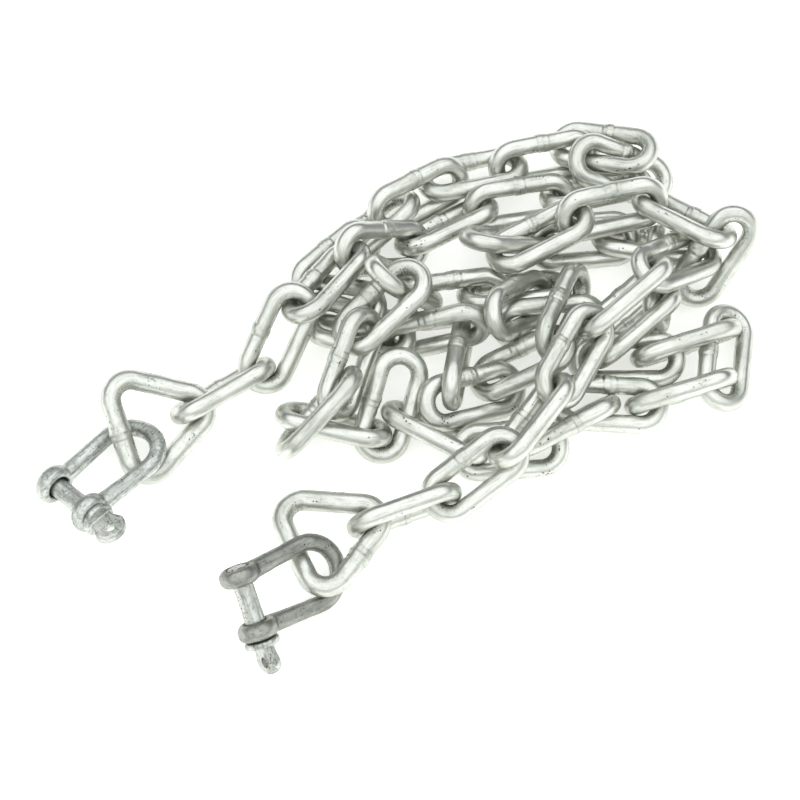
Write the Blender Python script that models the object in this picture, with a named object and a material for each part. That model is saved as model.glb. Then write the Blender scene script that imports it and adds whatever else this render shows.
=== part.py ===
"""A length of hot-dip galvanised chain left in a heap on the floor.

Fifty-four welded links run back and forth in loose rows, and each free end carries a
three-cornered delta link with a bow shackle and its screw pin.

Sizes are millimetres here, and become metres where Blender's objects are made.
X runs along the rows, Y to the back of the heap and Z up.
"""
import math

import bmesh
import bpy
import numpy as np
from mathutils import Matrix, Vector

MM = 0.001
PARTS_NAME = "chain_heap"
CUTTERS_NAME = "chain_heap_cutters"

# Link of the chain: short-link chain of 8 mm bar, welded in the middle of one side
LINK_LENGTH = 54.0
LINK_WIDTH = 26.0
BAR = 8.0
ARC_STEPS = 6
WELD_SWELL = 1.05

# Delta link: a rounded triangle of 9 mm bar
DELTA_BAR = 9.0
DELTA_SIDE = 57.0
DELTA_BEND = 9.0
DELTA_STEPS = 5

# Bow shackle: a bar bent round, with an eye at each end
BOW_BAR = 7.4
BOW_LENGTH = 47.0
BOW_ROUND = 14.0
BOW_STEPS = 8
EYE_SPACING = 25.0
EYE_DIAMETER = 18.0
EYE_THICKNESS = 8.0
EYE_SIDES = 20
PIN_HOLE = 9.8

# Screw pin of the shackle: a shaft through both eyes, a collar and a flat tab with a hole
PIN_DIAMETER = 9.0
PIN_SIDES = 16
COLLAR_DIAMETER = 15.5
COLLAR_THICKNESS = 3.0
TAB_THICKNESS = 5.0
TAB_LENGTH = 13.0
TAB_NECK = 11.0
TAB_WIDTH = 15.0
TAB_HOLE = 4.6
TAB_HOLE_SIDES = 12
TAB_END_STEPS = 6
FIT_GAP = 0.3
SUNK = 1.5

# A round bar drawn with flat sides is a little wider across its corners, so that it has
# the cross-section of the round bar
BAR_SIDES = 8
BAR_BEVEL_RESOLUTION = BAR_SIDES // 2 - 2
CORNER_FACTOR = math.sqrt(2 * math.pi / (BAR_SIDES * math.sin(2 * math.pi / BAR_SIDES)))
LINK_RADIUS = BAR / 2 * CORNER_FACTOR
DELTA_RADIUS = DELTA_BAR / 2 * CORNER_FACTOR
BOW_RADIUS = BOW_BAR / 2 * CORNER_FACTOR
ARC_RADIUS = (LINK_WIDTH - BAR) / 2
HALF_STRAIGHT = (LINK_LENGTH - BAR) / 2 - ARC_RADIUS
COLLAR_START = (EYE_SPACING + EYE_THICKNESS) / 2 + FIT_GAP
COLLAR_END = COLLAR_START + COLLAR_THICKNESS

# How the chain lies, one link a line, from the left end piece to the front one: the middle
# of its left or lower end (x, y, z), the middle of its right or upper end, how far it is
# rolled about its length in degrees, and which of its two sides has the weld
CHAIN = [
    ((-98, -15, 9), (-56, 20, 10), -30, 1),
    ((-71, 3, 15), (-31, 35, 19), 35, 1),
    ((-51, 26, 18), (-15, 62, 33), -40, -1),
    ((-31, 64, 26), (15, 80, 25), 75, -1),
    ((1, 69, 20), (50, 94, 16), -35, -1),
    ((31, 95, 16), (85, 104, 14), 75, 1),
    ((64, 92, 20), (116, 116, 16), 15, 1),
    ((94, 113, 32), (129, 117, 6), 60, 1),
    ((73, 120, 10), (119, 132, 14), 30, -1),
    ((40, 112, 13), (96, 120, 12), 65, 1),
    ((6, 106, 9), (62, 121, 9), 20, 1),
    ((-19, 88, 11), (34, 108, 10), 60, 1),
    ((-31, 73, 9), (8, 97, 9), -10, 1),
    ((-57, 56, 9), (-5, 68, 13), 15, 1),
    ((-46, 55, 5), (-5, 28, 6), -5, 1),
    ((-43, 22, 5), (10, 22, 7), 30, 1),
    ((-14, 25, 10), (38, 26, 16), 45, 1),
    ((35, -27, 6), (26, 24, 28), 75, -1),
    ((1, -11, 14), (54, -4, 15), 25, -1),
    ((33, 13, 12), (83, 14, 16), -29, -1),
    ((80, 16, 17), (70, 47, 24), 80, 1),
    ((40, 32, 11), (92, 35, 12), 30, -1),
    ((30, 36, 22), (78, 43, 24), -45, 1),
    ((29, 61, 15), (79, 52, 9), -50, -1),
    ((2, 46, 21), (50, 50, 19), 45, 1),
    ((-26, 50, 20), (22, 69, 20), -45, 1),
    ((-17, 9, 24), (7, 50, 26), 20, -1),
    ((-29, -18, 23), (-14, 29, 35), 60, -1),
    ((-52, -30, 14), (-13, 2, 26), -50, -1),
    ((-55, -10, 17), (-2, -21, 17), 10, -1),
    ((-15, -25, 22), (-3, 22, 36), 10, 1),
    ((-30, -26, 11), (25, -16, 11), -20, -1),
    ((25, -22, 13), (75, -27, 13), 40, 1),
    ((67, -33, 10), (94, 6, 29), 15, 1),
    ((66, -8, 7), (119, -2, 7), -5, 1),
    ((99, 2, 14), (147, 9, 12), -45, 1),
    ((135, -7, 5), (159, 40, 24), 10, -1),
    ((105, 18, 16), (155, 21, 17), -20, 1),
    ((85, 5, 22), (125, 31, 12), 40, 1),
    ((85, 18, 23), (117, 47, 17), -30, 1),
    ((104, 47, 14), (153, 53, 15), 20, 1),
    ((91, 83, 9), (145, 75, 10), 10, -1),
    ((47, 71, 7), (100, 82, 8), 20, -1),
    ((13, 62, 18), (67, 71, 14), 20, -1),
    ((36, 75, 24), (89, 89, 24), -45, 1),
    ((69, 69, 28), (124, 84, 26), 30, 1),
    ((113, 86, 14), (161, 92, 22), 20, -1),
    ((150, 46, 6), (161, 94, 24), 10, -1),
    ((100, 53, 29), (154, 51, 29), 25, -1),
    ((73, 21, 28), (119, 54, 40), -25, 1),
    ((66, -19, 21), (86, 28, 43), 10, 1),
    ((40, -51, 24), (73, -9, 38), -60, 1),
    ((12, -60, 20), (55, -36, 21), 25, 1),
    ((-23, -71, 12), (26, -53, 16), -35, -1),
]

# Three corners (x, y, z) of each delta link, the first at the chain
DELTAS = [
    ((-84, -9, 15), (-137, -1, 17), (-115, -47, 6)),
    ((-5, -67, 15), (-56, -50, 12), (-39, -106, 12)),
]

# Each shackle: the middle of its threaded eye, of its plain eye and of the bow's far side,
# and how far its pin's tab is turned in degrees
SHACKLES = [
    ((-154, -47, 9), (-138, -65, 13), (-113, -24, 9), 0),
    ((-70, -103, 27), (-64, -119, 11), (-29, -87, 7), 90),
]

# Seating: the bars start thin, grow to their size, and are then lowered until they rest
TOUCH_GAP = 0.10
THREAD_MARGIN = 1.4
EASY_REACH = 8.0
STRETCH_PRICE = 3.0
THIN_BAR = 0.12
GROW_STEPS = 650
FULL_STEPS = 50
FREE_STEPS = 300
LOWER_STEPS = 600
LOWER_BY = 0.06
SNUG_STEPS = 250
REST_STEPS = 650
NEAR = 4.0
REFRESH_EVERY = 8
EASE = 0.75
LONGEST_MOVE = 1.0
LARGEST_TURN = 0.05

# Finishes
LINK_ZINC = (0.60, 0.61, 0.58, 1.0)
DELTA_ZINC = (0.62, 0.62, 0.58, 1.0)
BOW_ZINC = (0.42, 0.44, 0.43, 1.0)
PIN_ZINC = (0.48, 0.50, 0.48, 1.0)
ZINC_ROUGHNESS = 0.38
BOW_ROUGHNESS = 0.55


# Centre lines of the bars, each in the piece's own frame

def link_outline():
    """Closed centre line of a link: length along X, width along Y, its weld halfway along the +Y side."""
    # The points of an arc stand a little outside it, so that its chords lie as much inside
    reach = ARC_RADIUS * (1 + (1 - math.cos(math.pi / ARC_STEPS / 2)) / 2)
    points = []
    for end in (1, -1):
        for step in range(ARC_STEPS + 1):
            turn = -math.pi / 2 + math.pi * step / ARC_STEPS
            along = end * (HALF_STRAIGHT + reach * math.cos(turn))
            points.append((along, end * reach * math.sin(turn), 0.0))
        if end == 1:
            points.append((0.0, reach, 0.0))
    return np.array(points)


def link_swell():
    """Thickness of a link's bar at each point of its centre line, as a share of the plain bar's."""
    swell = np.ones(2 * ARC_STEPS + 3)
    swell[ARC_STEPS + 1] = WELD_SWELL
    return swell


def delta_outline():
    """Closed centre line of a delta link: its first corner lies along X."""
    points = []
    corner_reach = DELTA_SIDE / math.sqrt(3) - 2 * DELTA_BEND
    for corner in range(3):
        heading = 2 * math.pi * corner / 3
        for step in range(DELTA_STEPS + 1):
            turn = heading + math.pi / 3 * (2 * step / DELTA_STEPS - 1)
            x = corner_reach * math.cos(heading) + DELTA_BEND * math.cos(turn)
            y = corner_reach * math.sin(heading) + DELTA_BEND * math.sin(turn)
            points.append((x, y, 0.0))
    return np.array(points)


def bow_outline():
    """Open centre line of a shackle's bow, from the threaded eye at -X round to the plain eye at +X."""
    foot = EYE_DIAMETER / 2 - SUNK * 1.7
    points = [(-EYE_SPACING / 2, foot, 0.0)]
    for step in range(BOW_STEPS + 1):
        turn = math.pi - math.pi * step / BOW_STEPS
        x = BOW_ROUND * math.cos(turn)
        y = BOW_LENGTH - BOW_ROUND + BOW_ROUND * math.sin(turn)
        points.append((x, y, 0.0))
    points.append((EYE_SPACING / 2, foot, 0.0))
    return np.array(points)


def tab_outline():
    """Outline of the pin's flat tab, which flares from the collar to a rounded end."""
    start = COLLAR_START + SUNK
    shoulder = COLLAR_END + TAB_LENGTH * 0.7
    points = [(start, -TAB_NECK / 2), (COLLAR_END + 1, -TAB_NECK / 2)]
    for step in range(TAB_END_STEPS + 1):
        turn = -math.pi / 2 + math.pi * step / TAB_END_STEPS
        x = shoulder + TAB_LENGTH * 0.3 * math.cos(turn)
        points.append((x, TAB_WIDTH / 2 * math.sin(turn)))
    points += [(COLLAR_END + 1, TAB_NECK / 2), (start, TAB_NECK / 2)]
    return points


# Shapes for the seating: points, the pairs of points that a straight stretch of bar joins,
# and the radius of each stretch

def closed_bar(points, radii):
    count = len(points)
    pairs = [(k, (k + 1) % count) for k in range(count)]
    return np.array(points, float), pairs, list(radii)


def open_bar(points, radius):
    pairs = [(k, k + 1) for k in range(len(points) - 1)]
    return np.array(points, float), pairs, [radius] * len(pairs)


def joined_bars(bars):
    points = []
    pairs = []
    radii = []
    for bar_points, bar_pairs, bar_radii in bars:
        pairs += [(a + len(points), b + len(points)) for a, b in bar_pairs]
        points += [tuple(point) for point in bar_points]
        radii += bar_radii
    return np.array(points), pairs, radii


def link_shape():
    swell = link_swell()
    radii = LINK_RADIUS * np.maximum(swell, np.roll(swell, -1))
    return closed_bar(link_outline(), radii)


def delta_shape():
    points = delta_outline()
    return closed_bar(points, [DELTA_RADIUS] * len(points))


def shackle_shape(tab_turn):
    """Bow, eyes and pin of a shackle as one rigid shape."""
    eye = EYE_SPACING / 2
    bars = [open_bar(bow_outline(), BOW_RADIUS)]
    for side in (-1, 1):
        inner = side * (eye - EYE_THICKNESS * 0.4)
        outer = side * (eye + EYE_THICKNESS * 0.4)
        bars.append(open_bar([(inner, 0, 0), (outer, 0, 0)], EYE_DIAMETER / 2))
    bars.append(open_bar([(-eye, 0, 0), (eye, 0, 0)], PIN_DIAMETER / 2))
    bars.append(open_bar([(COLLAR_START, 0, 0), (COLLAR_END, 0, 0)], COLLAR_DIAMETER / 2))
    reach = COLLAR_END + TAB_LENGTH - TAB_THICKNESS / 2
    for share in (-1, 0, 1):
        across = share * (TAB_WIDTH - TAB_THICKNESS) / 2
        x = reach - abs(share) * TAB_LENGTH * 0.2
        tip = (x, across * math.cos(tab_turn), across * math.sin(tab_turn))
        # The tab's edges are square, so they reach past a bar of its thickness
        bars.append(open_bar([(COLLAR_END, 0, 0), tip], TAB_THICKNESS * math.sqrt(0.5)))
    return joined_bars(bars)


# Poses: a centre and a 3 by 3 frame whose columns are the piece's own X, Y and Z

def rolled_frame(axis, roll):
    """Frame with X along the axis, and Y level before the roll."""
    axis = axis / np.linalg.norm(axis)
    level = np.cross((0.0, 0.0, 1.0), axis)
    level /= np.linalg.norm(level)
    rise = np.cross(axis, level)
    across = math.cos(roll) * level + math.sin(roll) * rise
    return np.stack([axis, across, np.cross(axis, across)], axis=1)


def link_pose(entry):
    first, second, roll, weld_side = entry
    first = np.array(first, float)
    second = np.array(second, float)
    return (first + second) / 2, rolled_frame(second - first, math.radians(roll))


def delta_pose(corners):
    a, b, c = [np.array(corner, float) for corner in corners]
    centre = (a + b + c) / 3
    x = (a - centre) / np.linalg.norm(a - centre)
    z = np.cross(b - a, c - a)
    z /= np.linalg.norm(z)
    return centre, np.stack([x, np.cross(z, x), z], axis=1)


def shackle_pose(threaded_eye, plain_eye, far_side):
    left, right, far = [np.array(spot, float) for spot in (threaded_eye, plain_eye, far_side)]
    centre = (left + right) / 2
    x = (right - left) / np.linalg.norm(right - left)
    y = far - centre
    y -= (y @ x) * x
    y /= np.linalg.norm(y)
    return centre, np.stack([x, y, np.cross(x, y)], axis=1)


def placed(points, centre, frame):
    return points @ frame.T + centre


# Threading: where each link starts, so that it passes through its neighbours and no other

def arc_centres(centre, frame):
    return centre + frame[:, 0] * HALF_STRAIGHT, centre - frame[:, 0] * HALF_STRAIGHT


def nearest_ends(ends, other_ends):
    """The two arc centres, one from each link, that lie closest."""
    pairs = [(a, b) for a in ends for b in other_ends]
    return min(pairs, key=lambda pair: np.linalg.norm(pair[0] - pair[1]))


def hook_points(poses):
    """Where each link is to meet the next."""
    hooks = []
    for pose, next_pose in zip(poses, poses[1:]):
        a, b = nearest_ends(arc_centres(*pose), arc_centres(*next_pose))
        hooks.append((a + b) / 2)
    return hooks


def stretched_pose(index, poses, hooks):
    """Centre and axis of a link that reaches from one hook point to the next."""
    centre, frame = poses[index]
    axis = frame[:, 0]
    if 0 < index < len(poses) - 1:
        span = hooks[index] - hooks[index - 1]
        if np.linalg.norm(span) > LINK_LENGTH / 4:
            axis = span * np.sign(span @ axis) / np.linalg.norm(span)
            centre = (hooks[index] + hooks[index - 1]) / 2
    return centre, axis


def trial_poses(centre, axis, roll, towards):
    """Poses round the wanted one, each with its price: nearer is cheaper."""
    centres = []
    frames = []
    prices = []
    for share in (0.0, 0.5, 1.0):
        for lift in (0, -4, 4, -8, 8):
            for tilt in (0, -12, 12, -25, 25):
                tilted = axis + (0.0, 0.0, math.sin(math.radians(tilt)))
                for turn in range(-90, 90, 15):
                    centres.append(centre + towards * share + (0.0, 0.0, lift))
                    frames.append(rolled_frame(tilted, roll + math.radians(turn)))
                    prices.append(share * 6 + abs(lift) * 0.5 + abs(tilt) * 0.12 + abs(turn) * 0.04)
    return np.array(centres), np.array(frames), np.array(prices)


def threading_price(loop, wanted, centres, frames):
    """Price of how a closed loop passes through a link, for each trial pose of the link."""
    local = np.einsum("cij,cki->ckj", frames, loop[None] - centres[:, None])
    height = local[:, :, 2]
    next_height = np.roll(height, -1, axis=1)
    crosses = (height > 0) != (next_height > 0)
    along = height / np.where(height == next_height, 1.0, height - next_height)
    flat = local[:, :, :2]
    spots = flat + along[:, :, None] * (np.roll(flat, -1, axis=1) - flat)
    beyond = np.maximum(np.abs(spots[:, :, 0]) - HALF_STRAIGHT, 0)
    outside = np.sqrt(beyond ** 2 + spots[:, :, 1] ** 2) - ARC_RADIUS
    inner = np.sum(crosses & (outside < -THREAD_MARGIN), axis=1)
    outer = np.sum(crosses & (outside < THREAD_MARGIN), axis=1)
    if wanted:
        return np.where(inner == 1, np.where(outer == 1, 0, 40), 200)
    return np.where(outer == 0, 0, np.where(outer == 2, 80, 100))


def bar_gaps(start, along, other_start, other_along):
    """Shortest distance of each pair of straight stretches, the nearest points and their difference."""
    between = start - other_start
    a = np.sum(along * along, axis=1)
    e = np.sum(other_along * other_along, axis=1)
    b = np.sum(along * other_along, axis=1)
    c = np.sum(along * between, axis=1)
    f = np.sum(other_along * between, axis=1)
    s = np.clip((b * f - c * e) / np.maximum(a * e - b * b, 1e-9), 0, 1)
    t = np.clip((b * s + f) / e, 0, 1)
    s = np.clip((b * t - c) / a, 0, 1)
    near = start + along * s[:, None]
    other_near = other_start + other_along * t[:, None]
    apart = near - other_near
    return np.sqrt(np.sum(apart * apart, axis=1)), near, other_near, apart


def loop_gap(loop, other):
    """Least distance between two closed centre lines."""
    rows = np.repeat(np.arange(len(loop)), len(other))
    columns = np.tile(np.arange(len(other)), len(loop))
    along = np.roll(loop, -1, axis=0) - loop
    other_along = np.roll(other, -1, axis=0) - other
    return np.min(bar_gaps(loop[rows], along[rows], other[columns], other_along[columns])[0])


def crowding_price(loop, others):
    """Price of sinking into the floor and of lying too near other pieces."""
    price = max(0.0, LINK_RADIUS - np.min(loop[:, 2]))
    for other in others:
        price += max(0.0, 2 * LINK_RADIUS - loop_gap(loop, other)) * 0.6
    return price


def reach_price(centres, axis, hook):
    """Price of what is left between a link's nearer end and the point where it meets the next link."""
    ends = centres + axis * HALF_STRAIGHT
    other_ends = centres - axis * HALF_STRAIGHT
    reach = np.minimum(np.linalg.norm(ends - hook, axis=1), np.linalg.norm(other_ends - hook, axis=1))
    return 0.5 * np.maximum(reach - EASY_REACH, 0)


def trials_of(index, poses, hooks, found):
    """Trial poses round the wanted pose of a link, and round one stretched between its neighbours."""
    wanted_centre, wanted_frame = poses[index]
    starts = [(0.0, wanted_centre, wanted_frame[:, 0])]
    starts.append((STRETCH_PRICE, *stretched_pose(index, poses, hooks)))
    trials = []
    for start_price, centre, axis in starts:
        towards = np.zeros(3)
        if found:
            level = np.stack([axis, axis, axis], axis=1)
            mine, theirs = nearest_ends(arc_centres(centre, level), arc_centres(*found[-1]))
            towards = theirs - mine
        centres, frames, prices = trial_poses(centre, axis, math.radians(CHAIN[index][2]), towards)
        if index < len(poses) - 1:
            prices = prices + start_price + reach_price(centres, axis, hooks[index])
        trials.append((centres, frames, prices))
    return [np.concatenate(parts) for parts in zip(*trials)]


def threaded_chain(end_loops):
    """Start pose of every link. end_loops holds the delta links' loops, at the first and the last link."""
    outline = link_outline()
    poses = [link_pose(entry) for entry in CHAIN]
    hooks = hook_points(poses)
    last = len(poses) - 1
    found = []
    for index in range(len(poses)):
        others = [(end_loops[0], index == 0), (end_loops[1], index == last)]
        if found:
            others += [(placed(outline, *pose), False) for pose in found[:-1]]
            others.append((placed(outline, *found[-1]), True))
        centres, frames, prices = trials_of(index, poses, hooks, found)
        near = []
        for loop, wanted in others:
            distance = np.linalg.norm(poses[index][0] - np.mean(loop, axis=0))
            if wanted or distance < 2 * LINK_LENGTH:
                prices = prices + threading_price(loop, wanted, centres, frames)
            if distance < LINK_LENGTH * 1.1:
                near.append(loop)
        cheapest = np.argsort(prices, kind="stable")[:60]
        for trial in cheapest:
            prices[trial] += crowding_price(placed(outline, centres[trial], frames[trial]), near)
        best = cheapest[np.argmin(prices[cheapest])]
        found.append((centres[best], frames[best]))
    return found


# Seating: rigid pieces made of round bars are moved apart wherever two of them overlap

class Seating:
    """Pieces with their poses, the poses they are drawn to, and the pairs of them that hook together."""

    def __init__(self, shapes, wanted, poses, hooked):
        self.centres = np.array([centre for centre, frame in poses])
        self.frames = np.array([frame for centre, frame in poses])
        self.wanted_centres = np.array([centre for centre, frame in wanted])
        self.wanted_frames = np.array([frame for centre, frame in wanted])
        self.hooked = hooked
        self.points = np.concatenate([points for points, pairs, radii in shapes])
        counts = [len(points) for points, pairs, radii in shapes]
        self.owner = np.repeat(np.arange(len(shapes)), counts)
        first = np.concatenate([[0], np.cumsum(counts)[:-1]])
        bars = []
        radii = []
        for start, (points, pairs, bar_radii) in zip(first, shapes):
            bars += [(start + a, start + b) for a, b in pairs]
            radii += bar_radii
        self.bars = np.array(bars)
        self.radii = np.array(radii)
        self.bar_owner = self.owner[self.bars[:, 0]]
        self.point_radii = np.zeros(len(self.points))
        for side in (0, 1):
            np.maximum.at(self.point_radii, self.bars[:, side], self.radii)
        self.inertia = np.array([0.6 * np.mean(np.sum(s[0] ** 2, axis=1)) for s in shapes])
        self.reach = np.array([np.max(np.linalg.norm(s[0], axis=1)) for s in shapes])
        self.bars_of = [np.nonzero(self.bar_owner == piece)[0] for piece in range(len(shapes))]
        self.keys = np.zeros(0, int)
        self.sides = np.zeros((0, 3))
        self.age = 0

    def world_points(self):
        return np.einsum("nij,nj->ni", self.frames[self.owner], self.points) + self.centres[self.owner]

    def gaps(self, world, left, right):
        start = world[self.bars[left, 0]]
        other = world[self.bars[right, 0]]
        return bar_gaps(start, world[self.bars[left, 1]] - start, other, world[self.bars[right, 1]] - other)

    def find_near_bars(self, world):
        """Lists the pairs of bars of different pieces that lie near, and keeps what is known of each."""
        distance = np.linalg.norm(self.centres[:, None] - self.centres[None], axis=2)
        reach = self.reach[:, None] + self.reach[None] + DELTA_BAR * 1.5 + NEAR
        rows, columns = np.nonzero(np.triu(distance < reach, 1))
        pieces = list(zip(rows, columns))
        left = np.concatenate([np.repeat(self.bars_of[a], len(self.bars_of[b])) for a, b in pieces])
        right = np.concatenate([np.tile(self.bars_of[b], len(self.bars_of[a])) for a, b in pieces])
        near = self.gaps(world, left, right)[0] < self.radii[left] + self.radii[right] + NEAR
        left = left[near]
        right = right[near]
        keys = left * len(self.bars) + right
        order = np.argsort(keys, kind="stable")
        self.left = left[order]
        self.right = right[order]
        apart = self.gaps(world, self.left, self.right)[3]
        sides = apart / np.maximum(np.linalg.norm(apart, axis=1), 1e-9)[:, None]
        if len(self.keys):
            place = np.minimum(np.searchsorted(self.keys, keys[order]), len(self.keys) - 1)
            known = self.keys[place] == keys[order]
            sides[known] = self.sides[place[known]]
        self.keys = keys[order]
        self.sides = sides

    def push_apart(self, world, growth, moves, turns, counts):
        """Moves each overlapping pair of bars apart, to the side that each bar came from."""
        distance, near, other_near, apart = self.gaps(world, self.left, self.right)
        normal = apart / np.maximum(distance, 1e-9)[:, None]
        crossed = (np.sum(normal * self.sides, axis=1) < 0) & (distance < LINK_RADIUS * 0.7)
        sign = np.where(crossed, -1.0, 1.0)
        normal *= sign[:, None]
        self.sides = normal
        full_reach = self.radii[self.left] + self.radii[self.right] + TOUCH_GAP
        depth = full_reach * growth - distance * sign
        hit = depth > 0
        left = self.bar_owner[self.left[hit]]
        right = self.bar_owner[self.right[hit]]
        self.share_out(left, right, near[hit], other_near[hit], normal[hit], depth[hit], moves, turns)
        np.add.at(counts, left, 1)
        np.add.at(counts, right, 1)

    def share_out(self, left, right, near, other_near, normal, depth, moves, turns):
        """Splits a correction between two pieces, as a move and a turn of each."""
        arm = np.cross(near - self.centres[left], normal)
        other_arm = np.cross(other_near - self.centres[right], normal)
        ease = 1 + np.sum(arm ** 2, axis=1) / self.inertia[left]
        other_ease = 1 + np.sum(other_arm ** 2, axis=1) / self.inertia[right]
        amount = depth / (ease + other_ease)
        np.add.at(moves, left, amount[:, None] * normal)
        np.add.at(moves, right, -amount[:, None] * normal)
        np.add.at(turns, left, (amount / self.inertia[left])[:, None] * arm)
        np.add.at(turns, right, -(amount / self.inertia[right])[:, None] * other_arm)

    def lift_off_floor(self, world, growth, moves, turns, counts):
        depth = self.point_radii * growth - world[:, 2]
        sunk = depth > 0
        piece = self.owner[sunk]
        up = np.tile((0.0, 0.0, 1.0), (len(piece), 1))
        arm = np.cross(world[sunk] - self.centres[piece], up)
        amount = depth[sunk] / (1 + np.sum(arm ** 2, axis=1) / self.inertia[piece])
        np.add.at(moves, piece, amount[:, None] * up)
        np.add.at(turns, piece, (amount / self.inertia[piece])[:, None] * arm)
        np.add.at(counts, piece, 1)

    def draw_together(self, world, pull, moves, turns):
        """Draws hooked pieces together until they touch."""
        owners = np.stack([self.bar_owner[self.left], self.bar_owner[self.right]], axis=1)
        for a, b in self.hooked:
            mine = (owners[:, 0] == a) & (owners[:, 1] == b)
            if not mine.any():
                continue
            left = self.left[mine]
            right = self.right[mine]
            distance, near, other_near, apart = self.gaps(world, left, right)
            slack = distance - self.radii[left] - self.radii[right] - TOUCH_GAP
            k = np.argmin(slack)
            if slack[k] > TOUCH_GAP:
                normal = apart[[k]] / distance[k]
                depth = -np.minimum(slack[[k]], pull)
                pair = (np.array([a]), np.array([b]))
                self.share_out(*pair, near[[k]], other_near[[k]], normal, depth, moves, turns)

    def step(self, growth=1.0, fall=0.0, hold=0.0, turn_hold=0.0, cap=0.05, hold_height=1.0, snug=0.0):
        """One round of corrections, and then a small pull towards the wanted poses."""
        world = self.world_points()
        if self.age % REFRESH_EVERY == 0:
            self.find_near_bars(world)
        self.age += 1
        moves = np.zeros_like(self.centres)
        turns = np.zeros_like(self.centres)
        counts = np.zeros(len(self.centres))
        self.push_apart(world, growth, moves, turns, counts)
        self.lift_off_floor(world, growth, moves, turns, counts)
        share = EASE / (1 + 0.15 * np.maximum(counts - 1, 0))
        moves = capped(moves * share[:, None], LONGEST_MOVE)
        turns = capped(turns * share[:, None], LARGEST_TURN)
        if snug > 0:
            self.draw_together(world, snug, moves, turns)
        pull = hold * (self.wanted_centres - self.centres)
        pull[:, 2] *= hold_height
        moves += capped(pull, cap)
        moves[:, 2] -= fall
        twist = np.zeros_like(turns)
        for k in range(3):
            twist += np.cross(self.frames[:, :, k], self.wanted_frames[:, :, k])
        turns += capped(twist * turn_hold / 2, cap / 15)
        # Rounding keeps the last digits, which differ from one computer to the next, from adding up
        self.centres = np.round(self.centres + moves, 7)
        self.frames = np.round(turned(self.frames, turns), 9)


def capped(vectors, longest):
    """Vectors with the same directions, and none longer than that."""
    length = np.sqrt(np.sum(vectors ** 2, axis=1))
    return vectors * np.minimum(1, longest / np.maximum(length, 1e-9))[:, None]


def turned(frames, turns):
    """Frames turned by rotation vectors, and squared up again."""
    angle = np.sqrt(np.sum(turns ** 2, axis=1))
    axis = turns / np.maximum(angle, 1e-12)[:, None]
    cross = np.zeros_like(frames)
    for row, column, sign, part in ((0, 1, -1, 2), (0, 2, 1, 1), (1, 2, -1, 0)):
        cross[:, row, column] = sign * axis[:, part]
        cross[:, column, row] = -sign * axis[:, part]
    sine = np.sin(angle)[:, None, None]
    cosine = np.cos(angle)[:, None, None]
    rotation = np.eye(3)[None] + sine * cross + (1 - cosine) * np.einsum("nij,njk->nik", cross, cross)
    rough = np.einsum("nij,njk->nik", rotation, frames)
    x = rough[:, :, 0] / np.linalg.norm(rough[:, :, 0], axis=1)[:, None]
    y = rough[:, :, 1] - np.sum(x * rough[:, :, 1], axis=1)[:, None] * x
    y /= np.linalg.norm(y, axis=1)[:, None]
    return np.stack([x, y, np.cross(x, y)], axis=2)


def with_welds(poses):
    """Poses of the links, each turned over in its plane where its weld lies on the other long side."""
    return [(centre, frame * (entry[3], entry[3], 1)) for (centre, frame), entry in zip(poses, CHAIN)]


def starting_layout():
    """Seating with every piece in its start pose: the links, then the delta links, then the shackles."""
    links = with_welds([link_pose(entry) for entry in CHAIN])
    deltas = [delta_pose(corners) for corners in DELTAS]
    shackles = [shackle_pose(*entry[:3]) for entry in SHACKLES]
    outline = delta_outline()
    threaded = with_welds(threaded_chain([placed(outline, *pose) for pose in deltas]))
    shapes = [link_shape()] * len(links) + [delta_shape()] * len(deltas)
    shapes += [shackle_shape(math.radians(entry[3])) for entry in SHACKLES]
    count = len(links)
    hooked = [(k, k + 1) for k in range(count - 1)]
    hooked += [(0, count), (count - 1, count + 1), (count, count + 2), (count + 1, count + 3)]
    return Seating(shapes, links + deltas + shackles, threaded + deltas + shackles, hooked)


def seated_layout():
    """Pose of every piece once the bars have their full size and the heap rests on the floor."""
    heap = starting_layout()
    for k in range(GROW_STEPS + FULL_STEPS):
        growth = THIN_BAR + (1 - THIN_BAR) * min(1, k / GROW_STEPS)
        heap.step(growth, hold=0.02, turn_hold=0.02)
    for k in range(FREE_STEPS):
        heap.step()
    for k in range(LOWER_STEPS):
        heap.step(fall=LOWER_BY, hold=0.01, turn_hold=0.004, cap=0.02, hold_height=0.0)
    for k in range(SNUG_STEPS):
        heap.step(snug=0.02)
    for k in range(REST_STEPS):
        heap.step()
    return heap


# Blender objects

def clear_scene():
    for thing in list(bpy.data.objects):
        bpy.data.objects.remove(thing, do_unlink=True)


def new_collection(name):
    collection = bpy.data.collections.new(name)
    bpy.context.scene.collection.children.link(collection)
    return collection


def zinc(name, colour, roughness):
    material = bpy.data.materials.new(name)
    material.use_nodes = True
    shader = material.node_tree.nodes["Principled BSDF"]
    shader.inputs["Base Color"].default_value = colour
    shader.inputs["Metallic"].default_value = 1.0
    shader.inputs["Roughness"].default_value = roughness
    material.diffuse_color = colour
    return material


def bar_curve(name, points, radius, material, swell=None, closed=True):
    """Round bar along a centre line, as a curve."""
    curve = bpy.data.curves.new(name, "CURVE")
    curve.dimensions = "3D"
    curve.twist_mode = "Z_UP"
    curve.bevel_depth = radius * MM
    curve.bevel_resolution = BAR_BEVEL_RESOLUTION
    curve.use_fill_caps = not closed
    spline = curve.splines.new("POLY")
    spline.points.add(len(points) - 1)
    spline.use_cyclic_u = closed
    for k, point in enumerate(points):
        spline.points[k].co = (*[MM * value for value in point], 1.0)
        spline.points[k].radius = 1.0 if swell is None else swell[k]
    curve.materials.append(material)
    return curve


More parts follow.
